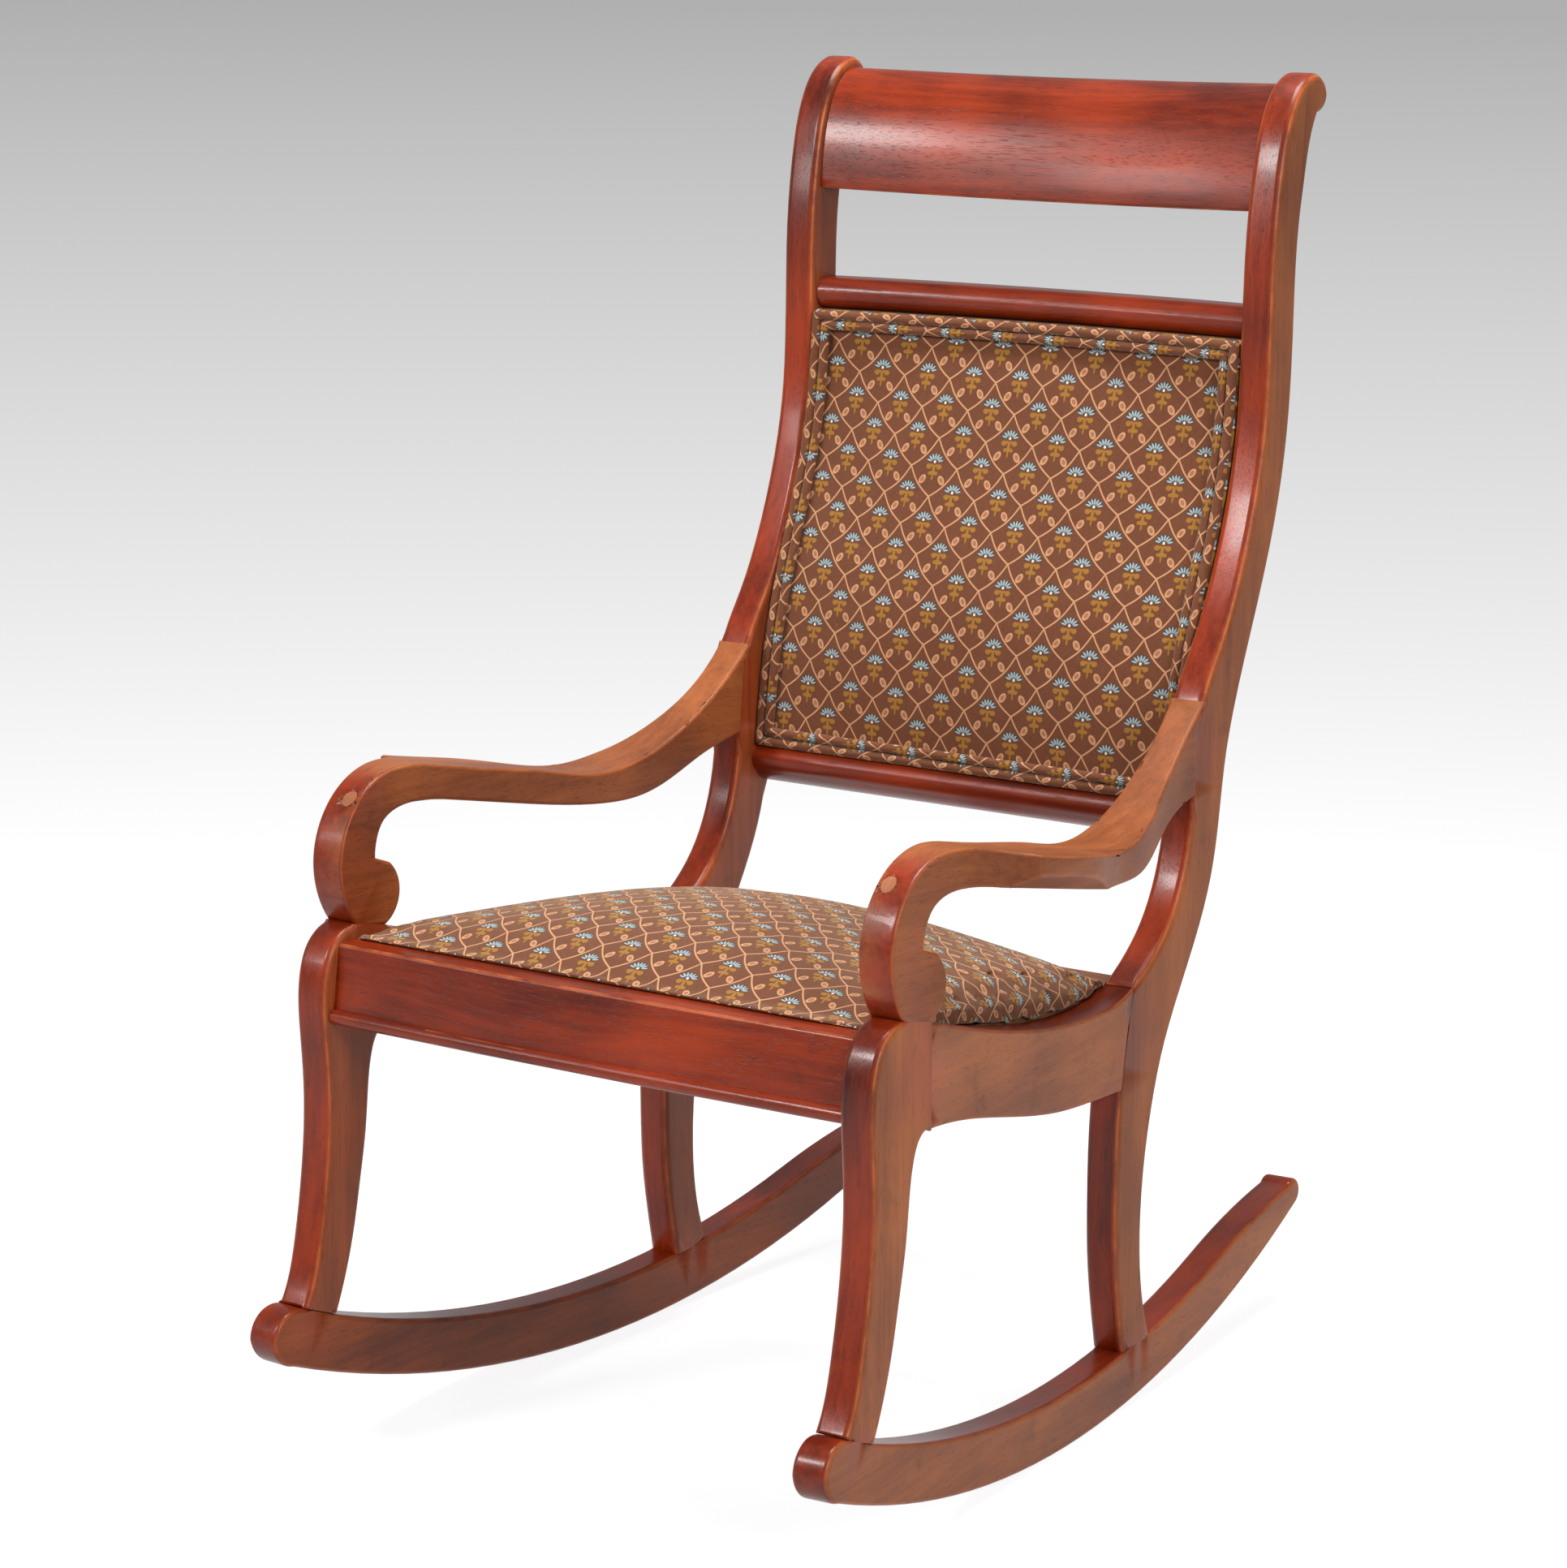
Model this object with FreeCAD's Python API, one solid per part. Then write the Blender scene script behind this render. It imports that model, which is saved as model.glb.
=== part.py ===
import FreeCAD, Part
import math
import os

# Rocking chair in the American Empire manner. Millimetres.
# X runs to the sitter's left (picture right), Y to the back, Z up, floor at Z = 0.
# At rest the rockers touch the floor just ahead of Y = 0, below the chair's centre of weight.

V = FreeCAD.Vector

# Overall sizes
BOARD = 29.0
FRONT_HALF = 262.0
POST_HALF = 231.5
POST_IN = POST_HALF - BOARD
FRONT_IN = FRONT_HALF - BOARD
REST_TILT = 1.31
ORIGIN_SHIFT = -8.875

# Rockers
ROCK_R = 1032.5
ROCK_DEPTH = 45.0
ROCK_NOSE_Y = -398.0
ROCK_TAIL_Y = 392.0
ROCK_TOP_R = ROCK_R - ROCK_DEPTH
ROCK_SET_Y = -369.0
ROCK_TOE = (FRONT_HALF - POST_HALF) / (80.0 - ROCK_SET_Y)

# Feet on the rockers
FOOT_F0 = -388.0
FOOT_F1 = -350.0
FOOT_R0 = 56.5
FOOT_R1 = 102.0

# Joint lines of the side rails
RAIL_Y0 = -279.0
RAIL_Z0 = 324.5
RAIL_Z1 = 403.5
JOINT_LOW = (46.0, 267.0)
JOINT_TOP = (64.0, 346.5)
RAIL_TOE = (FRONT_HALF - POST_HALF) / (JOINT_TOP[0] - RAIL_Y0)

# Arms
ARM_JOINT = (166.0, 555.0)
ARM_NOTCH = (-316.0, 413.0)
ARM_HEEL = (-279.0, 404.5)
ARM_EAR_HALF = 303.0
ARM_EAR_Y = -198.0
ARM_BAND = 13.0

# Front rail
FR_BOW = 4.0
FR_TOP = 402.5
FR_LOW = 341.0
FR_BACK_Y = -313.0
BEAD_R = 6.0

# Back rails
BACK_BOW = 12.0
LOW_TOP = 467.0
LOW_BOTTOM = 434.0
MID_TOP = 850.0
MID_BOTTOM = 825.0
CREST_BOTTOM = 924.0

# Slip seat
SEAT_GAP = 1.5
SEAT_Y0 = FR_BACK_Y + SEAT_GAP
SEAT_Y1 = 65.0
SEAT_THICK = 22.0
SEAT_RAIL_W = 46.0
SEAT_Z_FRONT = 366.0
SEAT_SLOPE = 0.143
REAR_RAIL_Y = 68.0
REAR_RAIL_T = 24.0
CLEAT = 18.0
SOFT_GAP = 0.3
REST_GAP = 0.2

# Back panel
PANEL_GAP = 0.6
PANEL_HALF = POST_IN - PANEL_GAP
PANEL_Z0 = LOW_TOP
PANEL_Z1 = MID_BOTTOM - PANEL_GAP
PANEL_SKIN = 10.0
PANEL_BACK = 26.0
STILE_W = 30.0
WELT_R = 3.9

# Fastenings
PIN_FIT = 0.12
DOWEL_BIG = 6.0
DOWEL_MID = 5.0
DOWEL_SMALL = 4.0
SCREW_R = 2.2
SCREW_HEAD_R = 4.2
SCREW_HEAD_T = 3.0

nodes = {}


def yz(p, x=0.0):
    return V(x, p[0], p[1])


def line(a, b, x=0.0):
    return Part.makeLine(yz(a, x), yz(b, x))


def arc(a, m, b, x=0.0):
    return Part.Arc(yz(a, x), yz(m, x), yz(b, x)).toShape()


def curve(points, x=0.0, start=None, end=None):
    spline = Part.BSplineCurve()
    pts = [yz(p, x) for p in points]
    if start is None:
        spline.interpolate(pts)
    else:
        spline.interpolate(Points=pts, InitialTangent=yz(start), FinalTangent=yz(end))
    return spline.toShape()


def face_of(edges):
    return Part.Face(Part.Wire(edges))


def board(edges, x0, x1):
    """A board sawn to a side outline, from x0 to x1."""
    face = face_of(edges)
    face.translate(V(x0, 0, 0))
    return face.extrude(V(x1 - x0, 0, 0))


def polygon(points, z0, z1):
    """An upright prism over a plan outline."""
    pts = [V(x, y, z0) for x, y in points]
    wire = Part.makePolygon(pts + [pts[0]])
    return Part.Face(wire).extrude(V(0, 0, z1 - z0))


def box(x0, x1, y0, y1, z0, z1):
    return Part.makeBox(x1 - x0, y1 - y0, z1 - z0, V(x0, y0, z0))


def rod(a, b, r):
    a = V(*a)
    b = V(*b)
    d = b - a
    return Part.makeCylinder(r, d.Length, a, d)


def mirrored(shape):
    return shape.mirror(V(0, 0, 0), V(1, 0, 0))


def both(shapes):
    return shapes + [mirrored(s) for s in shapes]


def group(shapes):
    return Part.makeCompound(shapes)


def arc_z(radius, y):
    """Height of a rocker arc of this radius at depth y."""
    return ROCK_R - math.sqrt(radius * radius - y * y)


def rock_top(y):
    return arc_z(ROCK_TOP_R, y)


def rock_low(y):
    return arc_z(ROCK_R, y)


# Rocker outline
def rocker_edges():
    nose_low = (ROCK_NOSE_Y, rock_low(ROCK_NOSE_Y))
    tail_low = (ROCK_TAIL_Y, rock_low(ROCK_TAIL_Y))
    nose_top = (FOOT_F0, rock_top(FOOT_F0))
    nose_mid = (-420.0, 103.0)
    tail_on = (240.0, rock_top(240.0))
    tail_top = (378.0, 96.5)
    return [
        arc(nose_low, (0.0, 0.0), tail_low),
        arc(tail_low, (398.5, 87.5), tail_top),
        arc(tail_top, (308.0, 88.5), tail_on),
        arc(tail_on, (0.0, ROCK_DEPTH), nose_top),
        arc(nose_top, (-413.0, 118.5), nose_mid),
        arc(nose_mid, (-414.0, 89.0), nose_low),
    ]


def toed(shape, toe, y_set):
    """Turns a board about an upright line so that it follows the taper of the seat."""
    shape.rotate(V(FRONT_HALF, y_set, 0), V(0, 0, 1), math.degrees(math.atan(toe)))
    return shape


rocker = toed(board(rocker_edges(), FRONT_IN, FRONT_HALF), ROCK_TOE, ROCK_SET_Y)

# Front leg outline, with a rolled knee
leg_front = [
    ARM_NOTCH, (-331.0, 409.5), (-343.0, 400.0), (-352.0, 382.0), (-355.5, 360.0), (-354.5, 325.0),
    (-353.0, 285.0), (-355.5, 247.0), (-361.0, 210.0), (-370.0, 168.0), (-380.0, 138.0),
    (FOOT_F0, rock_top(FOOT_F0)),
]
leg_back = [
    (FOOT_F1, rock_top(FOOT_F1)), (-337.0, 138.0), (-325.0, 174.0), (-316.0, 211.0), (-308.0, 248.0),
    (-303.5, 282.0), (-298.5, 306.0), (-291.0, 320.0), (RAIL_Y0, RAIL_Z0),
]
foot_mid = (FOOT_F0 + FOOT_F1) / 2
leg_edges = [
    curve(leg_front),
    arc(leg_front[-1], (foot_mid, rock_top(foot_mid)), leg_back[0]),
    curve(leg_back),
    line(leg_back[-1], (RAIL_Y0, RAIL_Z1)),
    line((RAIL_Y0, RAIL_Z1), ARM_HEEL) if ARM_HEEL[1] > RAIL_Z1 + 0.01 else None,
    line(ARM_HEEL, ARM_NOTCH),
]
leg_edges = [e for e in leg_edges if e is not None]
leg = board(leg_edges, FRONT_IN, FRONT_HALF)

# Back post outline: rear leg, bend behind the arm, swept back and rolled ear
post_low = [
    (FOOT_R0, rock_top(FOOT_R0)), (48.0, 89.0), (42.5, 130.0), (41.0, 170.0), (41.2, 210.0), JOINT_LOW,
]
post_front = [
    JOINT_TOP, (91.0, 361.5), (118.0, 384.0), (137.0, 412.0), (149.0, 446.0), (154.5, 482.0),
    (158.0, 520.0), ARM_JOINT, (192.0, 594.0), (222.0, 646.0), (243.5, 700.0), (256.5, 752.0),
    (261.0, 800.0), (262.5, 850.0), (265.0, 900.0), (272.5, 950.0), (288.0, 998.0), (302.0, 1017.0),
    (320.0, 1027.5),
]
ear_tip = (349.0, 1012.0)
ear_notch = (333.0, 997.5)
post_back = [
    ear_notch, (325.0, 983.0), (315.5, 950.0), (307.5, 910.0), (304.0, 865.0), (303.0, 820.0),
    (300.5, 775.0), (292.5, 724.0), (275.5, 667.0), (249.0, 605.0), (223.5, 548.0), (209.0, 505.0),
    (201.0, 462.0), (190.0, 413.0), (168.0, 367.0), (139.0, 323.0), (115.0, 282.0), (99.0, 238.0),
    (89.0, 193.0), (85.0, 148.0), (87.0, 105.0), (FOOT_R1, rock_top(FOOT_R1)),
]
foot_mid = (FOOT_R0 + FOOT_R1) / 2
post_edges = [
    curve(post_low),
    line(JOINT_LOW, JOINT_TOP),
    curve(post_front),
    arc(post_front[-1], (340.5, 1025.0), ear_tip),
    arc(ear_tip, (344.5, 1002.0), ear_notch),
    curve(post_back),
    arc(post_back[-1], (foot_mid, rock_top(foot_mid)), post_low[0]),
]
post = board(post_edges, POST_IN, POST_HALF)
post_cutter = board(post_edges, POST_IN - 50.0, ARM_EAR_HALF + 30.0)

# Side rail outline, dished on top and swept up into the post
rail_top = [
    (RAIL_Y0, RAIL_Z1), (-228.0, 388.0), (-178.0, 373.0), (-125.0, 359.5), (-70.0, 348.5), (-10.0, 341.5),
    (35.0, 341.0), JOINT_TOP,
]
rail_low = [
    JOINT_LOW, (-10.0, 272.5), (-65.0, 279.5), (-124.0, 292.0), (-201.0, 311.5), (RAIL_Y0, RAIL_Z0),
]
rail_edges = [
    line((RAIL_Y0, RAIL_Z0), (RAIL_Y0, RAIL_Z1)),
    curve(rail_top),
    line(JOINT_TOP, JOINT_LOW),
    curve(rail_low),
]
side_rail = board(rail_edges, FRONT_IN, FRONT_HALF)
side_rail = toed(side_rail, RAIL_TOE, RAIL_Y0)
side_rail = side_rail.common(box(POST_IN - 22.0, FRONT_HALF + 38.0, RAIL_Y0, 120, 200, 480))
side_rail = side_rail.cut(post_cutter)


def rail_in(y):
    """Inner face of a side rail at depth y."""
    return FRONT_IN - (y - RAIL_Y0) * RAIL_TOE - 0.12


# Arm: side outline, plan outline, and the under-cut of the widened rest
arm_top = [
    (184.0, 582.0), ARM_JOINT, (150.0, 540.5), (120.0, 519.0), (85.0, 500.5), (50.0, 487.0), (20.0, 480.5),
    (-10.0, 478.0), (-45.0, 481.5), (-90.0, 492.0), (-150.0, 504.5), (-205.0, 516.5), (-245.0, 524.5),
    (-270.0, 524.5), (-294.0, 517.0), (-313.0, 502.5), (-325.5, 484.0), (-331.5, 460.0), (-327.0, 433.0),
    ARM_NOTCH,
]
arm_curl = (-262.0, 431.0)
arm_crook = (-272.0, 452.5)
arm_inner = (-289.0, 459.0)
arm_under = [
    arm_inner, (-286.5, 473.0), (-279.0, 485.0), (-262.0, 493.0), (-236.0, 494.0), (-195.0, 487.0),
    (-150.0, 477.0), (-105.0, 467.0), (-60.0, 458.0), (-10.0, 451.0), (30.0, 450.5), (65.0, 457.5),
    (100.0, 469.0), (140.0, 478.5), (175.0, 483.0),
]
arm_edges = [
    curve(arm_top),
    line(ARM_NOTCH, ARM_HEEL),
    arc(ARM_HEEL, arm_curl, arm_crook),
    line(arm_crook, arm_inner),
    curve(arm_under),
    line(arm_under[-1], arm_top[0]),
]
arm_side = board(arm_edges, POST_IN - BOARD / 2, ARM_EAR_HALF + 5.0)


def plan_curve(points):
    spline = Part.BSplineCurve()
    spline.interpolate([V(x, y, 0) for x, y in points])
    return spline.toShape()


ear = (ARM_EAR_HALF, ARM_EAR_Y)
arm_nose_out = (FRONT_HALF, -345.0)
arm_nose_in = (FRONT_IN, -345.0)
arm_tail_out = (POST_HALF, 200.0)
arm_tail_in = (POST_IN, 200.0)
EAR_OUT = ARM_EAR_HALF - FRONT_HALF
EAR_IN = ARM_EAR_HALF - POST_HALF
flare_steps = [(0.0, -296.0), (0.037, -270.0), (0.122, -248.0), (0.256, -230.0), (0.463, -215.0)]
sweep_steps = [
    (1.021, -170.0), (1.007, -135.0), (0.923, -103.0), (0.748, -70.0), (0.559, -32.0), (0.448, 8.0),
    (0.294, 50.0), (0.133, 90.0), (0.028, 128.0), (0.0, 160.0),
]
plan_flare = [(FRONT_HALF + EAR_OUT * t, y) for t, y in flare_steps] + [ear]
plan_sweep = [ear] + [(POST_HALF + EAR_IN * t, y) for t, y in sweep_steps]
plan_edges = [
    Part.makeLine(V(*arm_nose_out, 0), V(*plan_flare[0], 0)),
    plan_curve(plan_flare),
    plan_curve(plan_sweep),
    Part.makeLine(V(*plan_sweep[-1], 0), V(*arm_tail_out, 0)),
    Part.makeLine(V(*arm_tail_out, 0), V(*arm_tail_in, 0)),
    Part.makeLine(V(*arm_tail_in, 0), V(POST_IN, 160.0, 0)),
    Part.makeLine(V(POST_IN, 160.0, 0), V(FRONT_IN, RAIL_Y0, 0)),
    Part.makeLine(V(FRONT_IN, RAIL_Y0, 0), V(*arm_nose_in, 0)),
    Part.makeLine(V(*arm_nose_in, 0), V(*arm_nose_out, 0)),
]
arm_plan = Part.Face(Part.Wire(plan_edges))
arm_plan.translate(V(0, 0, 380))
arm_plan = arm_plan.extrude(V(0, 0, 230))
arm = arm_side.common(arm_plan)
under_top = [(y, z - ARM_BAND) for y, z in arm_top[3:15]]
under_face = face_of([
    curve(under_top),
    line(under_top[-1], (under_top[-1][0], 300.0)),
    line((under_top[-1][0], 300.0), (under_top[0][0], 300.0)),
    line((under_top[0][0], 300.0), under_top[0]),
])
under_face.translate(V(ARM_EAR_HALF + 4.0, 0, 0))
undercut = under_face.extrude(V(-EAR_OUT - 19.0, 0, -36.0))
undercut = undercut.common(box(POST_IN, ARM_EAR_HALF + 30.0, ARM_EAR_Y - 45.0, 120, 300, 600))
arm = arm.cut(undercut)
arm = arm.cut(post_cutter)
arm_whole = arm.copy()

# Front rail and its bead, bowed in plan
bow_r = (FRONT_IN * FRONT_IN) / (2 * FR_BOW)


def bowed(edges, centre_y, half, bow_radius, turn=1.0, axis=(0.0, 1.0)):
    """Turns a section at X = 0 about a far axis and trims the ends at plus and minus half."""
    face = face_of(edges)
    sweep = math.degrees(math.asin(half / bow_radius)) + 0.35
    face.rotate(V(0, centre_y, 0), V(0, axis[0], axis[1]), -sweep)
    solid = face.revolve(V(0, centre_y, 0), V(0, axis[0], axis[1]), 2 * sweep)
    return solid


front_section = [
    line((-340.5, FR_TOP), (-349.0, FR_LOW + 2 * BEAD_R)),
    line((-349.0, FR_LOW + 2 * BEAD_R), (-349.0, FR_LOW)),
    line((-349.0, FR_LOW), (FR_BACK_Y - FR_BOW, FR_LOW)),
    line((FR_BACK_Y - FR_BOW, FR_LOW), (FR_BACK_Y - FR_BOW, FR_TOP)),
    line((FR_BACK_Y - FR_BOW, FR_TOP), (-340.5, FR_TOP)),
]
front_rail = bowed(front_section, -349.0 + bow_r, FRONT_IN, bow_r)
front_rail = front_rail.common(box(-FRONT_IN, FRONT_IN, -400, FR_BACK_Y, 300, 430))
front_rail = front_rail.fuse(box(-FRONT_IN, FRONT_IN, FR_BACK_Y - FR_BOW - 3.0, FR_BACK_Y, FR_LOW, FR_TOP))
front_rail = front_rail.removeSplitter()
bead_z = FR_LOW + BEAD_R
bead_section = [
    arc((-349.0, bead_z + BEAD_R), (-349.0 - BEAD_R, bead_z), (-349.0, bead_z - BEAD_R)),
    line((-349.0, bead_z - BEAD_R), (-349.0, bead_z + BEAD_R)),
]
front_bead = bowed(bead_section, -349.0 + bow_r, FRONT_IN, bow_r)
front_bead = front_bead.common(box(-FRONT_IN, FRONT_IN, -400, -300, 300, 430))

# Rear seat rail between the posts
rear_rail = box(-POST_IN, POST_IN, REAR_RAIL_Y, REAR_RAIL_Y + REAR_RAIL_T, 268.0, 345.0)
rear_rail = rear_rail.makeFillet(2.0, [e for e in rear_rail.Edges if e.BoundBox.ZMin > 344 and e.Length > 300])

# Crest and upper back rail, hollowed to the sitter; the lower rail is straight
back_r = (POST_IN * POST_IN) / (2 * BACK_BOW)
crest_front = [
    (276.0, CREST_BOTTOM), (279.5, 950.0), (286.0, 977.0), (293.0, 994.0), (303.0, 1008.0), (318.0, 1018.5),
]
crest_back = [(327.0, 996.5), (316.0, 982.0), (306.5, 955.0), (299.0, CREST_BOTTOM)]
LEAN = math.radians(13.0)


def hollowed(edges, y_ref, z_ref, lean):
    """Turns a section about a far leaning axis in front, so that its middle lies further back."""
    face = face_of(edges)
    face.translate(V(0, BACK_BOW * math.cos(lean), -BACK_BOW * math.sin(lean)))
    base = V(0, y_ref + BACK_BOW - back_r * math.cos(lean), z_ref + back_r * math.sin(lean))
    axis = V(0, math.sin(lean), math.cos(lean))
    sweep = math.degrees(math.asin(POST_IN / back_r)) + 0.9
    face.rotate(base, axis, -sweep)
    solid = face.revolve(base, axis, 2 * sweep)
    return solid.common(box(-POST_IN, POST_IN, 150, 450, 700, 1100))


crest = hollowed([
    curve(crest_front),
    arc(crest_front[-1], (333.5, 1017.5), (340.0, 1007.0)),
    arc((340.0, 1007.0), (336.5, 999.5), crest_back[0]),
    curve(crest_back),
    line(crest_back[-1], crest_front[0]),
], 276.0, CREST_BOTTOM, LEAN)
upper_rail = hollowed([
    arc((279.0, MID_TOP), (269.5, 838.0), (277.0, MID_BOTTOM)),
    line((277.0, MID_BOTTOM), (297.0, MID_BOTTOM)),
    line((297.0, MID_BOTTOM), (297.0, MID_TOP)),
    line((297.0, MID_TOP), (279.0, MID_TOP)),
], 270.0, 838.0, 0.0)
lower_rail = board([
    line((197.0, LOW_TOP), (177.0, LOW_TOP)),
    arc((177.0, LOW_TOP), (171.0, 458.0), (175.5, 446.5)),
    arc((175.5, 446.5), (183.0, 439.0), (194.0, LOW_BOTTOM)),
    line((194.0, LOW_BOTTOM), (197.0, LOW_BOTTOM)),
    line((197.0, LOW_BOTTOM), (197.0, LOW_TOP)),
], -POST_IN, POST_IN)


# Slip seat: everything lies on one sloping plane
def seat_z(y):
    """Underside of the slip seat frame at depth y."""
    return SEAT_Z_FRONT - SEAT_SLOPE * (y - SEAT_Y0)


def sloped(x0, x1, y0, y1, low, high):
    """A block between two planes parallel to the slip seat."""
    pts = [(y0, seat_z(y0) + low), (y1, seat_z(y1) + low), (y1, seat_z(y1) + high), (y0, seat_z(y0) + high)]
    edges = [line(pts[i], pts[(i + 1) % 4]) for i in range(4)]
    return board(edges, x0, x1)


def seat_side(y):
    """Side of the slip seat at depth y."""
    return min(FRONT_IN, rail_in(y)) - SEAT_GAP


def seat_plan(inset=0.0):
    """Half outline of the slip seat, from the front corner to the rear corner."""
    front = SEAT_Y0 + inset
    rear = SEAT_Y1 - inset
    half = [(seat_side(front) - inset, front)]
    if front < RAIL_Y0:
        half.append((seat_side(RAIL_Y0) - inset, RAIL_Y0))
    half.append((seat_side(rear) - inset - 1.0, rear))
    return half


def seat_block(inset, low, high):
    half = seat_plan(inset)
    outline = half + [(-x, y) for x, y in reversed(half)]
    return polygon(outline, 200, 500).common(sloped(-300, 300, -400, 200, low, high))


seat_outer = seat_block(0.0, 0.0, SEAT_THICK)
seat_frame = seat_outer.cut(seat_block(SEAT_RAIL_W, -1.0, SEAT_THICK + 1.0))
webs = []
WEB_T = 1.4
WEB_W = 50.0
for i in range(4):
    x = -112.5 + 75.0 * i
    webs.append(sloped(x - WEB_W / 2, x + WEB_W / 2, SEAT_Y0 + 12, SEAT_Y1 - 12, SEAT_THICK, SEAT_THICK + WEB_T))
cross_webs = []
for i in range(4):
    y = -238.0 + 76.0 * i
    half = seat_side(y) - 35.0
    cross_webs.append(sloped(-half, half, y - WEB_W / 2, y + WEB_W / 2, SEAT_THICK + WEB_T, SEAT_THICK + 2 * WEB_T))
seat_webbing = group(webs)
seat_cross_webbing = group(cross_webs)


def xz_section(y, half, low, shoulder, crown, draw):
    """One section of the seat pad: flat below, drawn-in sides and a crowned top."""
    a = V(-half, y, low)
    b = V(half, y, low)
    c = V(half - draw, y, shoulder)
    d = V(-half + draw, y, shoulder)
    side = V(half - draw * 0.22, y, low + (shoulder - low) * 0.62)
    other = V(-half + draw * 0.22, y, low + (shoulder - low) * 0.62)
    return Part.Wire([
        Part.makeLine(a, b),
        Part.Arc(b, side, c).toShape(),
        Part.Arc(c, V(0, y, crown), d).toShape(),
        Part.Arc(d, other, a).toShape(),
    ])


PAD_BASE = SEAT_THICK + 2 * WEB_T + SOFT_GAP
PAD_EDGE = 11.0
PAD_CROWN = 50.0
PAD_ROWS = 12
seat_sections = []
for i in range(PAD_ROWS + 1):
    turn = math.pi * i / PAD_ROWS
    y = SEAT_Y0 + 0.5 + (SEAT_Y1 - SEAT_Y0 - 3.5) * (1.0 - math.cos(turn)) / 2
    swell = abs(math.sin(turn))
    low = seat_z(y) + PAD_BASE
    shoulder = low + 9.0 + 11.0 * swell ** 0.6
    crown = low + PAD_EDGE + PAD_CROWN * swell ** 1.2
    seat_sections.append(xz_section(y, seat_side(y) - 0.5, low, shoulder, crown, 12.0))
seat_pad = Part.makeLoft(seat_sections, True, False)
DUST_HALF = POST_IN - 52.5
dust_cover = sloped(-DUST_HALF, DUST_HALF, SEAT_Y0 + 26.0, SEAT_Y1 - 26.0, -0.9, 0.0)
tacks = []
for i in range(5):
    y = SEAT_Y0 + 32.0 + i * (SEAT_Y1 - SEAT_Y0 - 64.0) / 4
    for x in (5.0 - DUST_HALF, DUST_HALF - 5.0):
        z = seat_z(y) - 0.9
        tacks.append(rod((x, y, z), (x, y, z - 1.4), 3.4).fuse(rod((x, y, z), (x, y, z + 6.0), 0.8)))
for x in (-DUST_HALF / 2, 0.0, DUST_HALF / 2):
    for y in (SEAT_Y0 + 32.0, SEAT_Y1 - 32.0):
        z = seat_z(y) - 0.9
        tacks.append(rod((x, y, z), (x, y, z - 1.4), 3.4).fuse(rod((x, y, z), (x, y, z + 6.0), 0.8)))
for t in tacks:
    dust_cover = dust_cover.cut(t)
    seat_frame = seat_frame.cut(t)
inner_front = SEAT_Y0 + SEAT_RAIL_W
inner_rear = SEAT_Y1 - SEAT_RAIL_W
seat_front_member = seat_frame.common(box(-300, 300, -400, inner_front, 200, 500))
seat_rear_member = seat_frame.common(box(-300, 300, inner_rear, 200, 200, 500))
seat_side_member = seat_frame.common(box(0, 300, inner_front, inner_rear, 200, 500))

# Cleats and corner blocks that carry the slip seat
CLEAT_HALF = POST_IN - 52.5
front_cleat = sloped(-CLEAT_HALF, CLEAT_HALF, FR_BACK_Y, FR_BACK_Y + CLEAT, -CLEAT, -REST_GAP)
rear_cleat = sloped(30.0 - CLEAT_HALF, CLEAT_HALF - 30.0, REAR_RAIL_Y - CLEAT, REAR_RAIL_Y, -CLEAT, -REST_GAP)
BLOCK = 62.0
BLOCK_H = 34.0
front_block = polygon([
    (FRONT_IN, FR_BACK_Y), (FRONT_IN - BLOCK, FR_BACK_Y),
    (rail_in(FR_BACK_Y + BLOCK + 10.0), FR_BACK_Y + BLOCK + 10.0), (FRONT_IN, RAIL_Y0),
], 250, 420)
front_block = front_block.common(sloped(0.0, FRONT_HALF, -400, 200, -BLOCK_H, -REST_GAP))
front_block = front_block.cut(side_rail)
rear_block = polygon([
    (POST_IN, REAR_RAIL_Y), (POST_IN - BLOCK, REAR_RAIL_Y), (rail_in(2.0) + 2.0, 2.0), (POST_IN + 7.5, 30.0),
], 200, 420)
rear_block = rear_block.common(sloped(0.0, FRONT_HALF, -400, 200, -BLOCK_H, -REST_GAP))
rear_block = rear_block.cut(side_rail).cut(post)


def screw(head, tip):
    """A countersunk wood screw from its head face to its tip."""
    a = V(*head)
    d = V(*tip) - a
    axis = V(d)
    axis.normalize()
    cone = Part.makeCone(SCREW_HEAD_R, SCREW_R, SCREW_HEAD_T, a, axis)
    shank = Part.makeCylinder(SCREW_R, d.Length - SCREW_HEAD_T, a + axis * SCREW_HEAD_T, axis)
    return cone.fuse(shank).removeSplitter()


def bore_for(head, tip, deep=60.0):
    """The hole a screw sits in, open behind its head."""
    a = V(*head)
    d = V(*tip) - a
    axis = V(d)
    axis.normalize()
    well = Part.makeCylinder(SCREW_HEAD_R + 0.3, deep, a - axis * deep, axis)
    cone = Part.makeCone(SCREW_HEAD_R, SCREW_R, SCREW_HEAD_T, a, axis)
    hole = Part.makeCylinder(SCREW_R + PIN_FIT, d.Length - SCREW_HEAD_T + 1.0, a + axis * SCREW_HEAD_T, axis)
    return well.fuse(cone).fuse(hole)


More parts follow.
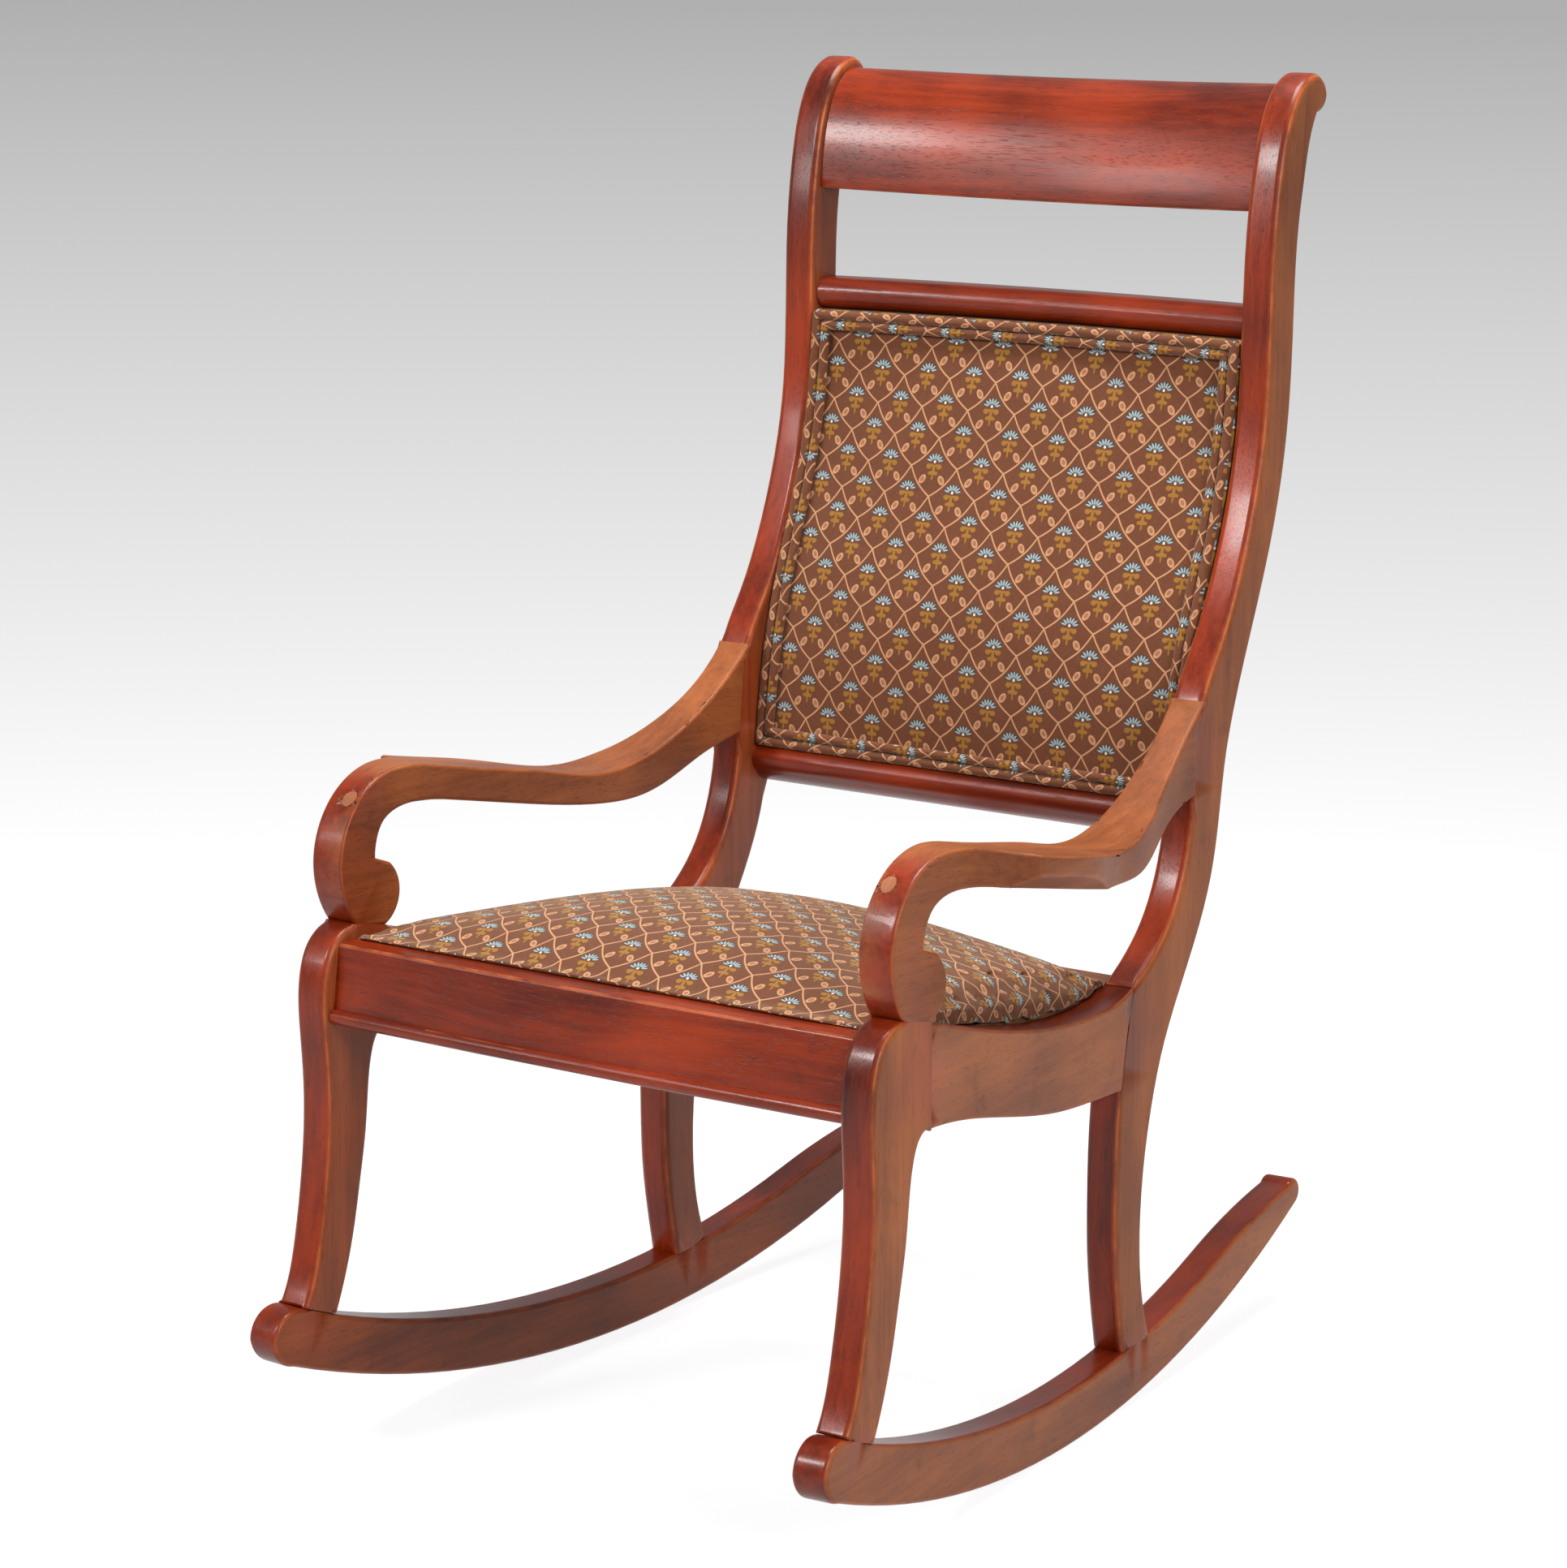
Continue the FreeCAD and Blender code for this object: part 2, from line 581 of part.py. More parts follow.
block_screw_lines = [
    ((FRONT_IN - 37.0, -292.0, 346.0), (FRONT_IN - 37.0, -332.0, 346.0)),
    ((FRONT_IN - 19.0, -268.0, 352.0), (FRONT_IN + 11.0, -268.0, 352.0)),
    ((POST_IN - 34.5, 49.0, 297.0), (POST_IN - 34.5, 86.0, 297.0)),
    ((POST_IN - 12.5, 30.0, 297.0), (POST_IN + 19.5, 30.0, 297.0)),
]
block_screws = [screw(*s) for s in block_screw_lines]
for s in block_screw_lines:
    hole = bore_for(*s)
    front_block = front_block.cut(hole)
    rear_block = rear_block.cut(hole)
for s in (block_screw_lines[0],):
    front_rail = front_rail.cut(bore_for(*s, deep=1.0))
    front_rail = front_rail.cut(mirrored(bore_for(*s, deep=1.0)))
rear_rail = rear_rail.cut(bore_for(*block_screw_lines[2], deep=1.0))
rear_rail = rear_rail.cut(mirrored(bore_for(*block_screw_lines[2], deep=1.0)))
side_rail = side_rail.cut(bore_for(*block_screw_lines[1], deep=1.0))
side_rail = side_rail.cut(bore_for(*block_screw_lines[3], deep=1.0))


def pin(a, b, r):
    """A dowel: it stands on the bottom of its hole at a, with a little air at b."""
    body = rod(a, b, r)
    d = V(*b) - V(*a)
    d.normalize()
    end = V(*b) + d * 1.0
    hole = rod(a, (end.x, end.y, end.z), r + PIN_FIT)
    return body, hole


def foot_pin(y):
    x = FRONT_HALF - (y - ROCK_SET_Y) * ROCK_TOE - BOARD / 2
    z = rock_top(y)
    return pin((x, y, z - 24.0), (x, y, z + 30.0), DOWEL_BIG)


front_foot_pin, front_foot_hole = foot_pin(-369.0)
rear_foot_pin, rear_foot_hole = foot_pin(79.0)
leg = leg.cut(rocker)
post = post.cut(rocker)
rocker = rocker.cut(front_foot_hole).cut(rear_foot_hole)
leg = leg.cut(front_foot_hole)
post = post.cut(rear_foot_hole)

x_leg = FRONT_HALF - BOARD / 2
x_post = POST_HALF - BOARD / 2
front_rail_pins = []
for z in (362.0, 388.0):
    body, hole = pin((FRONT_IN + 16.0, -327.0, z), (FRONT_IN - 24.0, -327.0, z), DOWEL_SMALL)
    front_rail_pins.append(body)
    leg = leg.cut(hole)
    front_rail = front_rail.cut(hole).cut(mirrored(hole))
side_rail_pins = []
for z in (342.0, 384.0):
    body, hole = pin((x_leg, RAIL_Y0 - 22.0, z), (x_leg - 1.0, RAIL_Y0 + 20.0, z), DOWEL_SMALL)
    side_rail_pins.append(body)
    leg = leg.cut(hole)
    side_rail = side_rail.cut(hole)
for y, z in ((50.5, 287.0), (58.8, 323.5)):
    body, hole = pin((x_post, y + 20.0, z), (x_post + 1.0, y - 20.0, z), DOWEL_SMALL)
    side_rail_pins.append(body)
    post = post.cut(hole)
    side_rail = side_rail.cut(hole)
rear_rail_pins = []
for z in (286.0, 324.0):
    body, hole = pin((POST_IN + 7.0, 84.0, z), (POST_IN - 24.0, 84.0, z), DOWEL_SMALL)
    rear_rail_pins.append(body)
    post = post.cut(hole)
    rear_rail = rear_rail.cut(hole).cut(mirrored(hole))
back_pins = []
crest_pins = []
body, lower_hole = pin((POST_IN + 16.0, 186.0, 452.5), (POST_IN - 26.0, 186.0, 452.5), DOWEL_MID)
back_pins.append(body)
body, upper_hole = pin((POST_IN + 16.0, 285.0, 838.0), (POST_IN - 26.0, 285.6, 838.0), DOWEL_MID)
back_pins.append(body)
post = post.cut(lower_hole).cut(upper_hole)
lower_rail = lower_rail.cut(lower_hole).cut(mirrored(lower_hole))
upper_rail = upper_rail.cut(upper_hole).cut(mirrored(upper_hole))
for y, z in ((289.5, 940.0), (296.5, 968.0)):
    body, hole = pin((POST_IN + 16.0, y, z), (POST_IN - 24.0, y + 1.2, z), DOWEL_SMALL)
    crest_pins.append(body)
    post = post.cut(hole)
    crest = crest.cut(hole).cut(mirrored(hole))
arm_pins = []
body, hole = pin((x_post, 186.0, 514.0), (x_post, 130.0, 500.0), DOWEL_MID)
arm_pins.append(body)
post = post.cut(hole)
arm = arm.cut(hole)
body, hole = pin((x_leg, -288.0, 391.0), (x_leg, -288.0, 430.0), DOWEL_MID)
arm_pins.append(body)
leg = leg.cut(hole)
arm = arm.cut(hole)

# The long arm screw under its wood plug
PLUG_X = FRONT_HALF - 19.0
PLUG_Y = -307.0
PLUG_R = 5.6
PLUG_Z = 494.0
arm_screw = screw((PLUG_X, PLUG_Y, PLUG_Z), (PLUG_X, PLUG_Y, 378.0))
plug_hole = rod((PLUG_X, PLUG_Y, PLUG_Z), (PLUG_X, PLUG_Y, 540.0), PLUG_R)
arm_plug = rod((PLUG_X, PLUG_Y, PLUG_Z), (PLUG_X, PLUG_Y, 540.0), PLUG_R).common(arm_whole)
arm_bore = bore_for((PLUG_X, PLUG_Y, PLUG_Z), (PLUG_X, PLUG_Y, 378.0), deep=0.01).fuse(plug_hole)
arm = arm.cut(arm_bore)
leg = leg.cut(arm_bore)

# Back panel: loose frame, webs, pad, double welt and outside cover
PANEL_FOOT_Y = 174.0
PANEL_SWEEP = (76.1, -274.5, 1276.3, -1640.3, 651.5)


def panel_y(z):
    """Edge line of the padded front at height z: upright below, swept back, upright above."""
    t = (z - PANEL_Z0) / (PANEL_Z1 - PANEL_Z0)
    return PANEL_FOOT_Y + sum(k * t ** (i + 1) for i, k in enumerate(PANEL_SWEEP))


def spaced(z0, z1, step=24.0):
    """Evenly spaced heights from z0 to z1."""
    count = max(2, math.ceil((z1 - z0) / step))
    return [z0 + (z1 - z0) * i / count for i in range(count + 1)]


def panel_bow(x, z):
    """How far the panel lies back at x and height z, to follow the hollow of the rail above."""
    rise = max(0.0, (z - PANEL_Z0) / (PANEL_Z1 - PANEL_Z0))
    return BACK_BOW * (1.0 - (x / POST_IN) ** 2) * rise ** 1.5


def strip(x, z0, z1, front, back, crown=None):
    """A section of the panel at x between two heights and two depths behind the edge line."""
    heights = spaced(z0, z1)
    ahead = []
    behind = []
    for z in heights:
        y = panel_y(z) + panel_bow(x, z)
        swell = crown(x, z) if crown else 0.0
        ahead.append((y + front - swell, z))
        behind.append((y + back, z))
    behind.reverse()
    return Part.Wire([
        curve(ahead, x),
        line(ahead[-1], behind[0], x),
        curve(behind, x),
        line(behind[-1], ahead[0], x),
    ])


def lofted(stations, z0, z1, front, back, crown=None):
    return Part.makeLoft([strip(x, z0, z1, front, back, crown) for x in stations], True, False)


def across(half):
    """Five even stations from minus half to half."""
    return [half * t for t in (-1.0, -0.5, 0.0, 0.5, 1.0)]


inner = PANEL_HALF - STILE_W
wide = across(inner)
TACK_X = PANEL_HALF - 17.0
stile = lofted([inner, PANEL_HALF - STILE_W / 2, PANEL_HALF], PANEL_Z0, PANEL_Z1, PANEL_SKIN, PANEL_BACK)
panel_top = lofted(wide, PANEL_Z1 - 34.0, PANEL_Z1, PANEL_SKIN, PANEL_BACK)
panel_low = lofted(wide, PANEL_Z0, PANEL_Z0 + 34.0, PANEL_SKIN, PANEL_BACK)
panel_webs = []
for i in range(4):
    z = PANEL_Z0 + 73.0 + 70.0 * i
    panel_webs.append(lofted(across(PANEL_HALF - 10.0), z - 25.0, z + 25.0, PANEL_SKIN - 1.6, PANEL_SKIN - 0.3))
back_webbing = group(panel_webs)
WELT_BAND = 4 * WELT_R + 1.2


def back_crown(x, z):
    """Swell of the back pad, flat in a border that carries the welt."""
    u = min(1.0, abs(x) / (PANEL_HALF - WELT_BAND))
    v = min(1.0, abs(z - (PANEL_Z0 + PANEL_Z1) / 2) / ((PANEL_Z1 - PANEL_Z0) / 2 - WELT_BAND))
    return 11.0 * (1.0 - u ** 3) * (1.0 - v ** 3)


pad_half_w = PANEL_HALF - 0.4
side_stations = [pad_half_w, PANEL_HALF - WELT_BAND, PANEL_HALF * 0.65, PANEL_HALF * 0.3]
stations = [-x for x in side_stations] + [0.0] + list(reversed(side_stations))
PAD_FRONT = 2 * WELT_R - 2.2
back_pad = lofted(
    stations, PANEL_Z0 + SOFT_GAP, PANEL_Z1 - 0.2, PAD_FRONT, PANEL_SKIN - 1.6 - SOFT_GAP, back_crown)


def welt_point(x, z):
    return V(x, panel_y(z) + panel_bow(x, z) + PAD_FRONT - WELT_R - 2 * SOFT_GAP, z)


def tube(points):
    """A cord along a smooth curve."""
    spline = Part.BSplineCurve()
    spline.interpolate(points)
    path = spline.toShape()
    circle = Part.Wire(Part.makeCircle(WELT_R, points[0], path.tangentAt(path.FirstParameter)))
    return Part.Wire([path]).makePipeShell([circle], True, False)


def ring(inset):
    """One round of the welt cord, with rounded corners."""
    xs = PANEL_HALF - inset
    z0 = PANEL_Z0 + inset + 0.2
    z1 = PANEL_Z1 - inset
    heights = spaced(z0, z1)
    side = tube([welt_point(xs, z) for z in heights])
    pieces = [
        mirrored(side),
        tube([welt_point(xs * t, z1) for t in (1.0, 0.5, 0.0, -0.5, -1.0)]),
        tube([welt_point(xs * t, z0) for t in (-1.0, 0.0, 1.0)]),
    ]
    pieces += [Part.makeSphere(WELT_R, welt_point(x, z)) for x in (xs, -xs) for z in (z0, z1)]
    for piece in pieces:
        side = side.fuse(piece)
    return side


back_welt = group([ring(WELT_R + 0.3), ring(3 * WELT_R + 0.5)])
outside_cover = lofted(across(PANEL_HALF - 10.0), PANEL_Z0 + 9.0, PANEL_Z1 - 9.0, PANEL_BACK + SOFT_GAP, PANEL_BACK + 1.5)
cover_tacks = []
for i in range(7):
    z = PANEL_Z0 + 16.0 + i * (PANEL_Z1 - PANEL_Z0 - 32.0) / 6
    y = panel_y(z) + panel_bow(TACK_X, z) + PANEL_BACK + 1.5
    head = rod((TACK_X, y, z), (TACK_X, y + 1.4, z), 3.2)
    cover_tacks.append(head.fuse(rod((TACK_X, y, z), (TACK_X, y - 6.0, z), 0.8)))
cover_tacks = both(cover_tacks)
for t in cover_tacks:
    outside_cover = outside_cover.cut(t)
panel_screw_lines = []
for z in (520.0, 760.0):
    y = panel_y(z) + (PANEL_SKIN + PANEL_BACK) / 2 + 1.0
    panel_screw_lines.append(((PANEL_HALF - STILE_W + 6.0, y, z), (POST_IN + 14.0, y, z)))
panel_screws = [screw(*s) for s in panel_screw_lines]
for s in panel_screw_lines:
    stile = stile.cut(bore_for(*s))
    post = post.cut(bore_for(*s, deep=0.01))
for t in cover_tacks[:7]:
    stile = stile.cut(t)

# Collect the pieces
nodes["rocker_right"] = rocker
nodes["rocker_left"] = mirrored(rocker)
nodes["front_leg_right"] = leg
nodes["front_leg_left"] = mirrored(leg)
nodes["back_post_right"] = post
nodes["back_post_left"] = mirrored(post)
nodes["side_rail_right"] = side_rail
nodes["side_rail_left"] = mirrored(side_rail)
nodes["arm_right"] = arm
nodes["arm_left"] = mirrored(arm)
nodes["arm_plugs"] = group(both([arm_plug]))
nodes["arm_screws"] = group(both([arm_screw]))
nodes["front_rail"] = front_rail
nodes["front_rail_bead"] = front_bead
nodes["rear_seat_rail"] = rear_rail
nodes["crest_rail"] = crest
nodes["upper_back_rail"] = upper_rail
nodes["lower_back_rail"] = lower_rail
nodes["corner_blocks"] = group(both([front_block, rear_block]))
nodes["corner_block_screws"] = group(both(block_screws))
nodes["seat_cleats"] = group([front_cleat, rear_cleat])
nodes["foot_dowels"] = group(both([front_foot_pin, rear_foot_pin]))
nodes["front_rail_dowels"] = group(both(front_rail_pins))
nodes["side_rail_dowels"] = group(both(side_rail_pins))
nodes["rear_rail_dowels"] = group(both(rear_rail_pins))
nodes["back_rail_dowels"] = group(both(back_pins))
nodes["crest_dowels"] = group(both(crest_pins))
nodes["arm_dowels"] = group(both(arm_pins))
nodes["seat_frame_front"] = seat_front_member
nodes["seat_frame_rear"] = seat_rear_member
nodes["seat_frame_side_right"] = seat_side_member
nodes["seat_frame_side_left"] = mirrored(seat_side_member)
nodes["seat_webbing"] = seat_webbing
nodes["seat_cross_webbing"] = seat_cross_webbing
nodes["seat_pad"] = seat_pad
nodes["dust_cover"] = dust_cover
nodes["dust_cover_tacks"] = group(tacks)
nodes["back_panel_stiles"] = group(both([stile]))
nodes["back_panel_rails"] = group([panel_top, panel_low])
nodes["back_webbing"] = back_webbing
nodes["back_pad"] = back_pad
nodes["back_welt"] = back_welt
nodes["back_outside_cover"] = outside_cover
nodes["back_cover_tacks"] = group(cover_tacks)
nodes["back_panel_screws"] = group(both(panel_screws))

# Turn about the rockers' centre until the weight lies over the contact line, then centre the plan
os.makedirs("parts", exist_ok=True)
for name, shape in nodes.items():
    shape = shape.copy()
    shape.rotate(V(0, 0, ROCK_R), V(1, 0, 0), REST_TILT)
    shape.translate(V(0, ORIGIN_SHIFT, 0))
    shape.exportStep("parts/" + name + ".step")
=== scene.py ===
"""Upholstered rocking chair: wooden frame, slip seat, padded back, light and camera."""

import logging
import math
from dataclasses import dataclass, field, replace
from enum import Enum
from functools import reduce
from typing import Dict, Iterable, List, Optional, Sequence, Tuple, Union

import bmesh
import bpy
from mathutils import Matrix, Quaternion, Vector, noise
from mathutils.bvhtree import BVHTree

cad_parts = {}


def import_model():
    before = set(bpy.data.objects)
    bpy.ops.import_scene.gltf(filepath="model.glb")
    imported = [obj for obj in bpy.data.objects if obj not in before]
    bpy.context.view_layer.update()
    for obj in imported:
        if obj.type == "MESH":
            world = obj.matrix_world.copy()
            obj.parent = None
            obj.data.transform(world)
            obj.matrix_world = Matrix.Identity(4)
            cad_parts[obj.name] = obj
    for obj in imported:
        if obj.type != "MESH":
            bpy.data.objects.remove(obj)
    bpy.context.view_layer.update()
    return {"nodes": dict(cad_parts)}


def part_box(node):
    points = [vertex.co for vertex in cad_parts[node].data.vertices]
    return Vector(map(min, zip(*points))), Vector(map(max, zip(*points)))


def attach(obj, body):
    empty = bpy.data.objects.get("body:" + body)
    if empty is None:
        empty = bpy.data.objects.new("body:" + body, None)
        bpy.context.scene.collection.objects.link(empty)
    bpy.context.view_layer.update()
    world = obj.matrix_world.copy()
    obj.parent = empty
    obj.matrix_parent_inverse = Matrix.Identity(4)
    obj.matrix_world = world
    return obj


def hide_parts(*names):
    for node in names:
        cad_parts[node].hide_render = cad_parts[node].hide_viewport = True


log = logging.getLogger("rocking_chair")

Colour = Tuple[float, float, float]
Number = Union[float, "Sock"]

UP = Vector((0.0, 0.0, 1.0))
MERGE = 0.00002  # corners nearer than this are one, in metres
NEARBY = 0.01  # how far a neighbour is looked for, in metres
SAMPLES = 60  # steps along a cover's middle line
STANDOFF = 0.1  # how far off a piece a ray starts, in metres
ARRIS_DEPTH = 0.27  # how far a rounded arris lies inside its two sides, as a share of its width


def linear(red: int, green: int, blue: int) -> Colour:
    """Turns a colour named on a screen's 0 to 255 scale into the shader's linear scale.

    Args:
        red: Red, 0 to 255.
        green: Green, 0 to 255.
        blue: Blue, 0 to 255.

    Returns:
        The linear colour.
    """
    parts = []
    for value in (red, green, blue):
        c = value / 255.0
        parts.append(c / 12.92 if c <= 0.04045 else ((c + 0.055) / 1.055) ** 2.4)
    return (parts[0], parts[1], parts[2])


class Sock:
    """A shader socket that can be used in arithmetic."""

    def __init__(self, graph: "Graph", socket: bpy.types.NodeSocket) -> None:
        """Wraps one output socket of a graph."""
        self.graph = graph
        self.socket = socket

    def _math(self, operation: str, *values: Number) -> "Sock":
        """Adds one Math node."""
        return self.graph.add("ShaderNodeMath", {"operation": operation}, dict(enumerate(values)))

    def __add__(self, other: Number) -> "Sock":
        """Sum."""
        return self._math("ADD", self, other)

    __radd__ = __add__

    def __sub__(self, other: Number) -> "Sock":
        """Difference."""
        return self._math("SUBTRACT", self, other)

    def __rsub__(self, other: Number) -> "Sock":
        """Difference from a number."""
        return self._math("SUBTRACT", other, self)

    def __mul__(self, other: Number) -> "Sock":
        """Product."""
        return self._math("MULTIPLY", self, other)

    __rmul__ = __mul__

    def __truediv__(self, other: Number) -> "Sock":
        """Quotient."""
        return self._math("DIVIDE", self, other)

    def __rtruediv__(self, other: Number) -> "Sock":
        """Quotient of a number by this."""
        return self._math("DIVIDE", other, self)

    def __abs__(self) -> "Sock":
        """Size without sign."""
        return self._math("ABSOLUTE", self)

    def sin(self) -> "Sock":
        """Sine of an angle in radians."""
        return self._math("SINE", self)

    def floor(self) -> "Sock":
        """Largest whole number not above."""
        return self._math("FLOOR", self)

    def fract(self) -> "Sock":
        """Part after the whole number."""
        return self._math("FRACT", self)

    def root(self) -> "Sock":
        """Square root."""
        return self._math("SQRT", self)

    def least(self, other: Number) -> "Sock":
        """The smaller of two."""
        return self._math("MINIMUM", self, other)

    def most(self, other: Number) -> "Sock":
        """The larger of two."""
        return self._math("MAXIMUM", self, other)

    def rise(self, low: float, high: float) -> "Sock":
        """Goes smoothly from 0 to 1, or falls from 1 to 0 where low is above high.

        Args:
            low: Where it is 0.
            high: Where it is 1.

        Returns:
            The eased value.
        """
        if low > high:
            return 1.0 - self.rise(high, low)
        inputs = {"Value": self, "From Min": low, "From Max": high}
        return self.graph.add("ShaderNodeMapRange", {"interpolation_type": "SMOOTHSTEP"}, inputs)


class Graph:
    """The nodes of one material or world."""

    def __init__(self, block: Union[bpy.types.Material, bpy.types.World]) -> None:
        """Starts from the shader that a new material or world comes with.

        Args:
            block: The material or world.
        """
        block.use_nodes = True
        self.block = block
        self.tree = block.node_tree
        kind = "Principled BSDF" if isinstance(block, bpy.types.Material) else "Background"
        self.shader = self.tree.nodes[kind]

    def add(self, kind: str, settings: Dict[str, object], inputs: Dict[Union[int, str], object],
            output: Union[int, str] = 0) -> Sock:
        """Adds a node.

        Args:
            kind: The node's type.
            settings: Its properties, set first.
            inputs: Values or sockets by input name or number.
            output: The output wanted.

        Returns:
            That output, wrapped.
        """
        node = self.tree.nodes.new(kind)
        for key, value in settings.items():
            setattr(node, key, value)
        for key, value in inputs.items():
            self._put(node.inputs[key], value)
        return Sock(self, node.outputs[output])

    def _put(self, target: bpy.types.NodeSocket, value: object) -> None:
        """Links a socket or sets a value.

        Args:
            target: The input socket.
            value: A wrapped socket, a number or a tuple.
        """
        if isinstance(value, Sock):
            self.tree.links.new(value.socket, target)
        elif isinstance(value, tuple) and len(target.default_value) > len(value):
            target.default_value = (*value, 1.0)
        else:
            target.default_value = value

    def mix(self, factor: Number, first: object, second: object) -> Sock:
        """Mixes two colours, the second where the factor is 1."""
        return self.add("ShaderNodeMix", {"data_type": "RGBA"}, {0: factor, 6: first, 7: second}, 2)

    def noise(self, place: Sock, scale: float, detail: float = 2.0, rough: float = 0.5) -> Sock:
        """Noise between 0 and 1 at a place, scale features to the metre."""
        inputs = {"Vector": place, "Scale": scale, "Detail": detail, "Roughness": rough}
        return self.add("ShaderNodeTexNoise", {}, inputs)

    def stretch(self, place: Sock, scale: Tuple[float, float, float]) -> Sock:
        """Scales a place differently along each axis."""
        return self.add("ShaderNodeVectorMath", {"operation": "MULTIPLY"}, {0: place, 1: scale})

    def parts(self, place: Sock) -> Tuple[Sock, Sock, Sock]:
        """Splits a vector into its three numbers."""
        node = self.add("ShaderNodeSeparateXYZ", {}, {0: place}).socket.node
        return (Sock(self, node.outputs[0]), Sock(self, node.outputs[1]), Sock(self, node.outputs[2]))

    def bump(self, height: Sock, depth: float, strength: float, under: Optional[Sock] = None) -> Sock:
        """Turns a height into a normal.

        Args:
            height: The height, 0 to 1.
            depth: What a height of 1 is, in metres.
            strength: How much of it shows.
            under: A coarser normal that it lies on.

        Returns:
            The normal.
        """
        inputs: Dict[Union[int, str], object] = {"Height": height, "Distance": depth, "Strength": strength}
        if under is not None:
            inputs["Normal"] = under
        return self.add("ShaderNodeBump", {}, inputs)

    def finish(self, **inputs: object) -> Union[bpy.types.Material, bpy.types.World]:
        """Sets the shader's sockets.

        Args:
            inputs: Values or sockets by the socket's name, with _ for a space.

        Returns:
            The material or world.
        """
        for key, value in inputs.items():
            self._put(self.shader.inputs[key.replace("_", " ")], value)
        return self.block

    def show(self, shader: Sock) -> bpy.types.Material:
        """Shows another shader instead and returns the material."""
        self._put(self.tree.nodes["Material Output"].inputs["Surface"], shader)
        return self.block


class Grain(Enum):
    """The axis that the fibres of a piece of wood run along."""

    ACROSS = (1, 0, 0)
    DEPTH = (0, 1, 0)
    UPRIGHT = (0, 0, 1)

    def scale(self, along: float, across: float) -> Tuple[float, float, float]:
        """Feature counts per metre, few along the fibres and many across."""
        return tuple(along if axis else across for axis in self.value)


class Finish:
    """A finish that can be mixed into a material."""

    name: str

    def material(self) -> bpy.types.Material:
        """Builds the material."""
        raise NotImplementedError


@dataclass(frozen=True)
class Polish(Finish):
    """Polished hardwood: deep red and glossy in front, brown and duller at the sides, worn at the arrises."""

    name: str
    grain: Grain
    red_deep: Colour = linear(66, 13, 4)
    red_warm: Colour = linear(164, 54, 14)
    brown_deep: Colour = linear(108, 52, 24)
    brown_warm: Colour = linear(174, 100, 54)
    worn: Colour = linear(200, 104, 48)
    gloss: float = 0.3
    dull: float = 0.48

    def material(self) -> bpy.types.Material:
        """Builds the material.

        Returns:
            The material.
        """
        g = Graph(bpy.data.materials.new(self.name))
        place = g.add("ShaderNodeTexCoord", {}, {}, "Object")
        drift = g.add("ShaderNodeTexNoise", {}, {"Vector": place, "Scale": 4.0, "Detail": 1.0}, "Color")
        bent = g.add("ShaderNodeVectorMath", {"operation": "MULTIPLY_ADD"},
                     {0: drift, 1: (0.02, 0.02, 0.02), 2: place})
        figure = g.noise(g.stretch(bent, self.grain.scale(2.0, 16.0)), 1.0, 3.0, 0.55)
        streak = g.noise(g.stretch(bent, self.grain.scale(9.0, 190.0)), 1.0, 4.0, 0.65)
        pore = g.noise(g.stretch(bent, self.grain.scale(60.0, 1500.0)), 1.0, 1.0, 0.5).rise(0.6, 0.72)
        cloud = g.noise(place, 9.0, 2.0, 0.5)
        smoke = g.noise(place, 26.0, 3.0, 0.6).rise(0.56, 0.8)
        worn = g.add("ShaderNodeAttribute", {"attribute_name": "worn"}, {}, "Fac")
        shine = g.add("ShaderNodeAttribute", {"attribute_name": "shine"}, {}, "Fac")
        rub = worn * g.noise(place, 40.0, 3.0, 0.6).rise(0.3, 0.66)
        tone = (figure * 0.55 + streak * 0.25 + cloud * 0.35 - 0.08).rise(0.28, 0.72)
        red = g.mix(tone, self.red_deep, self.red_warm)
        brown = g.mix(tone, self.brown_deep, self.brown_warm)
        colour = g.mix(shine, brown, red)
        colour = g.mix(pore * 0.45 + smoke * 0.3, colour, tuple(c * 0.3 for c in self.red_deep))
        colour = g.mix(rub * 0.6, colour, self.worn)
        rough = self.dull - shine * (self.dull - self.gloss) + streak * 0.12 + cloud * 0.1 + rub * 0.1 - 0.1
        ripple = g.bump(g.noise(place, 30.0, 1.0, 0.4), 0.0006, 0.5)
        normal = g.bump(1.0 - pore * 0.5 - streak * 0.3, 0.00025, 0.5, ripple)
        return g.finish(Base_Color=colour, Roughness=rough, Normal=normal, Coat_Weight=shine * 0.08 + 0.02,
                        Coat_Roughness=0.12, Specular_IOR_Level=0.26)


@dataclass(frozen=True)
class PlainWood(Finish):
    """Stained inner wood with saw marks."""

    name: str
    grain: Grain
    light: Colour = linear(128, 80, 48)
    dark: Colour = linear(84, 46, 26)

    def material(self) -> bpy.types.Material:
        """Builds the material.

        Returns:
            The material.
        """
        g = Graph(bpy.data.materials.new(self.name))
        place = g.add("ShaderNodeTexCoord", {}, {}, "Object")
        streak = g.noise(g.stretch(place, self.grain.scale(7.0, 150.0)), 1.0, 4.0, 0.6)
        saw = g.noise(g.stretch(place, self.grain.scale(420.0, 12.0)), 1.0, 1.0)
        colour = g.mix(streak.rise(0.3, 0.7), self.dark, self.light)
        stain = g.noise(place, 14.0, 2.0).rise(0.5, 0.8)
        colour = g.mix(stain * 0.4, colour, tuple(c * 0.55 for c in self.dark))
        return g.finish(Base_Color=colour, Roughness=0.62 + streak * 0.25,
                        Normal=g.bump(streak * 0.6 + saw * 0.4, 0.0003, 0.6))


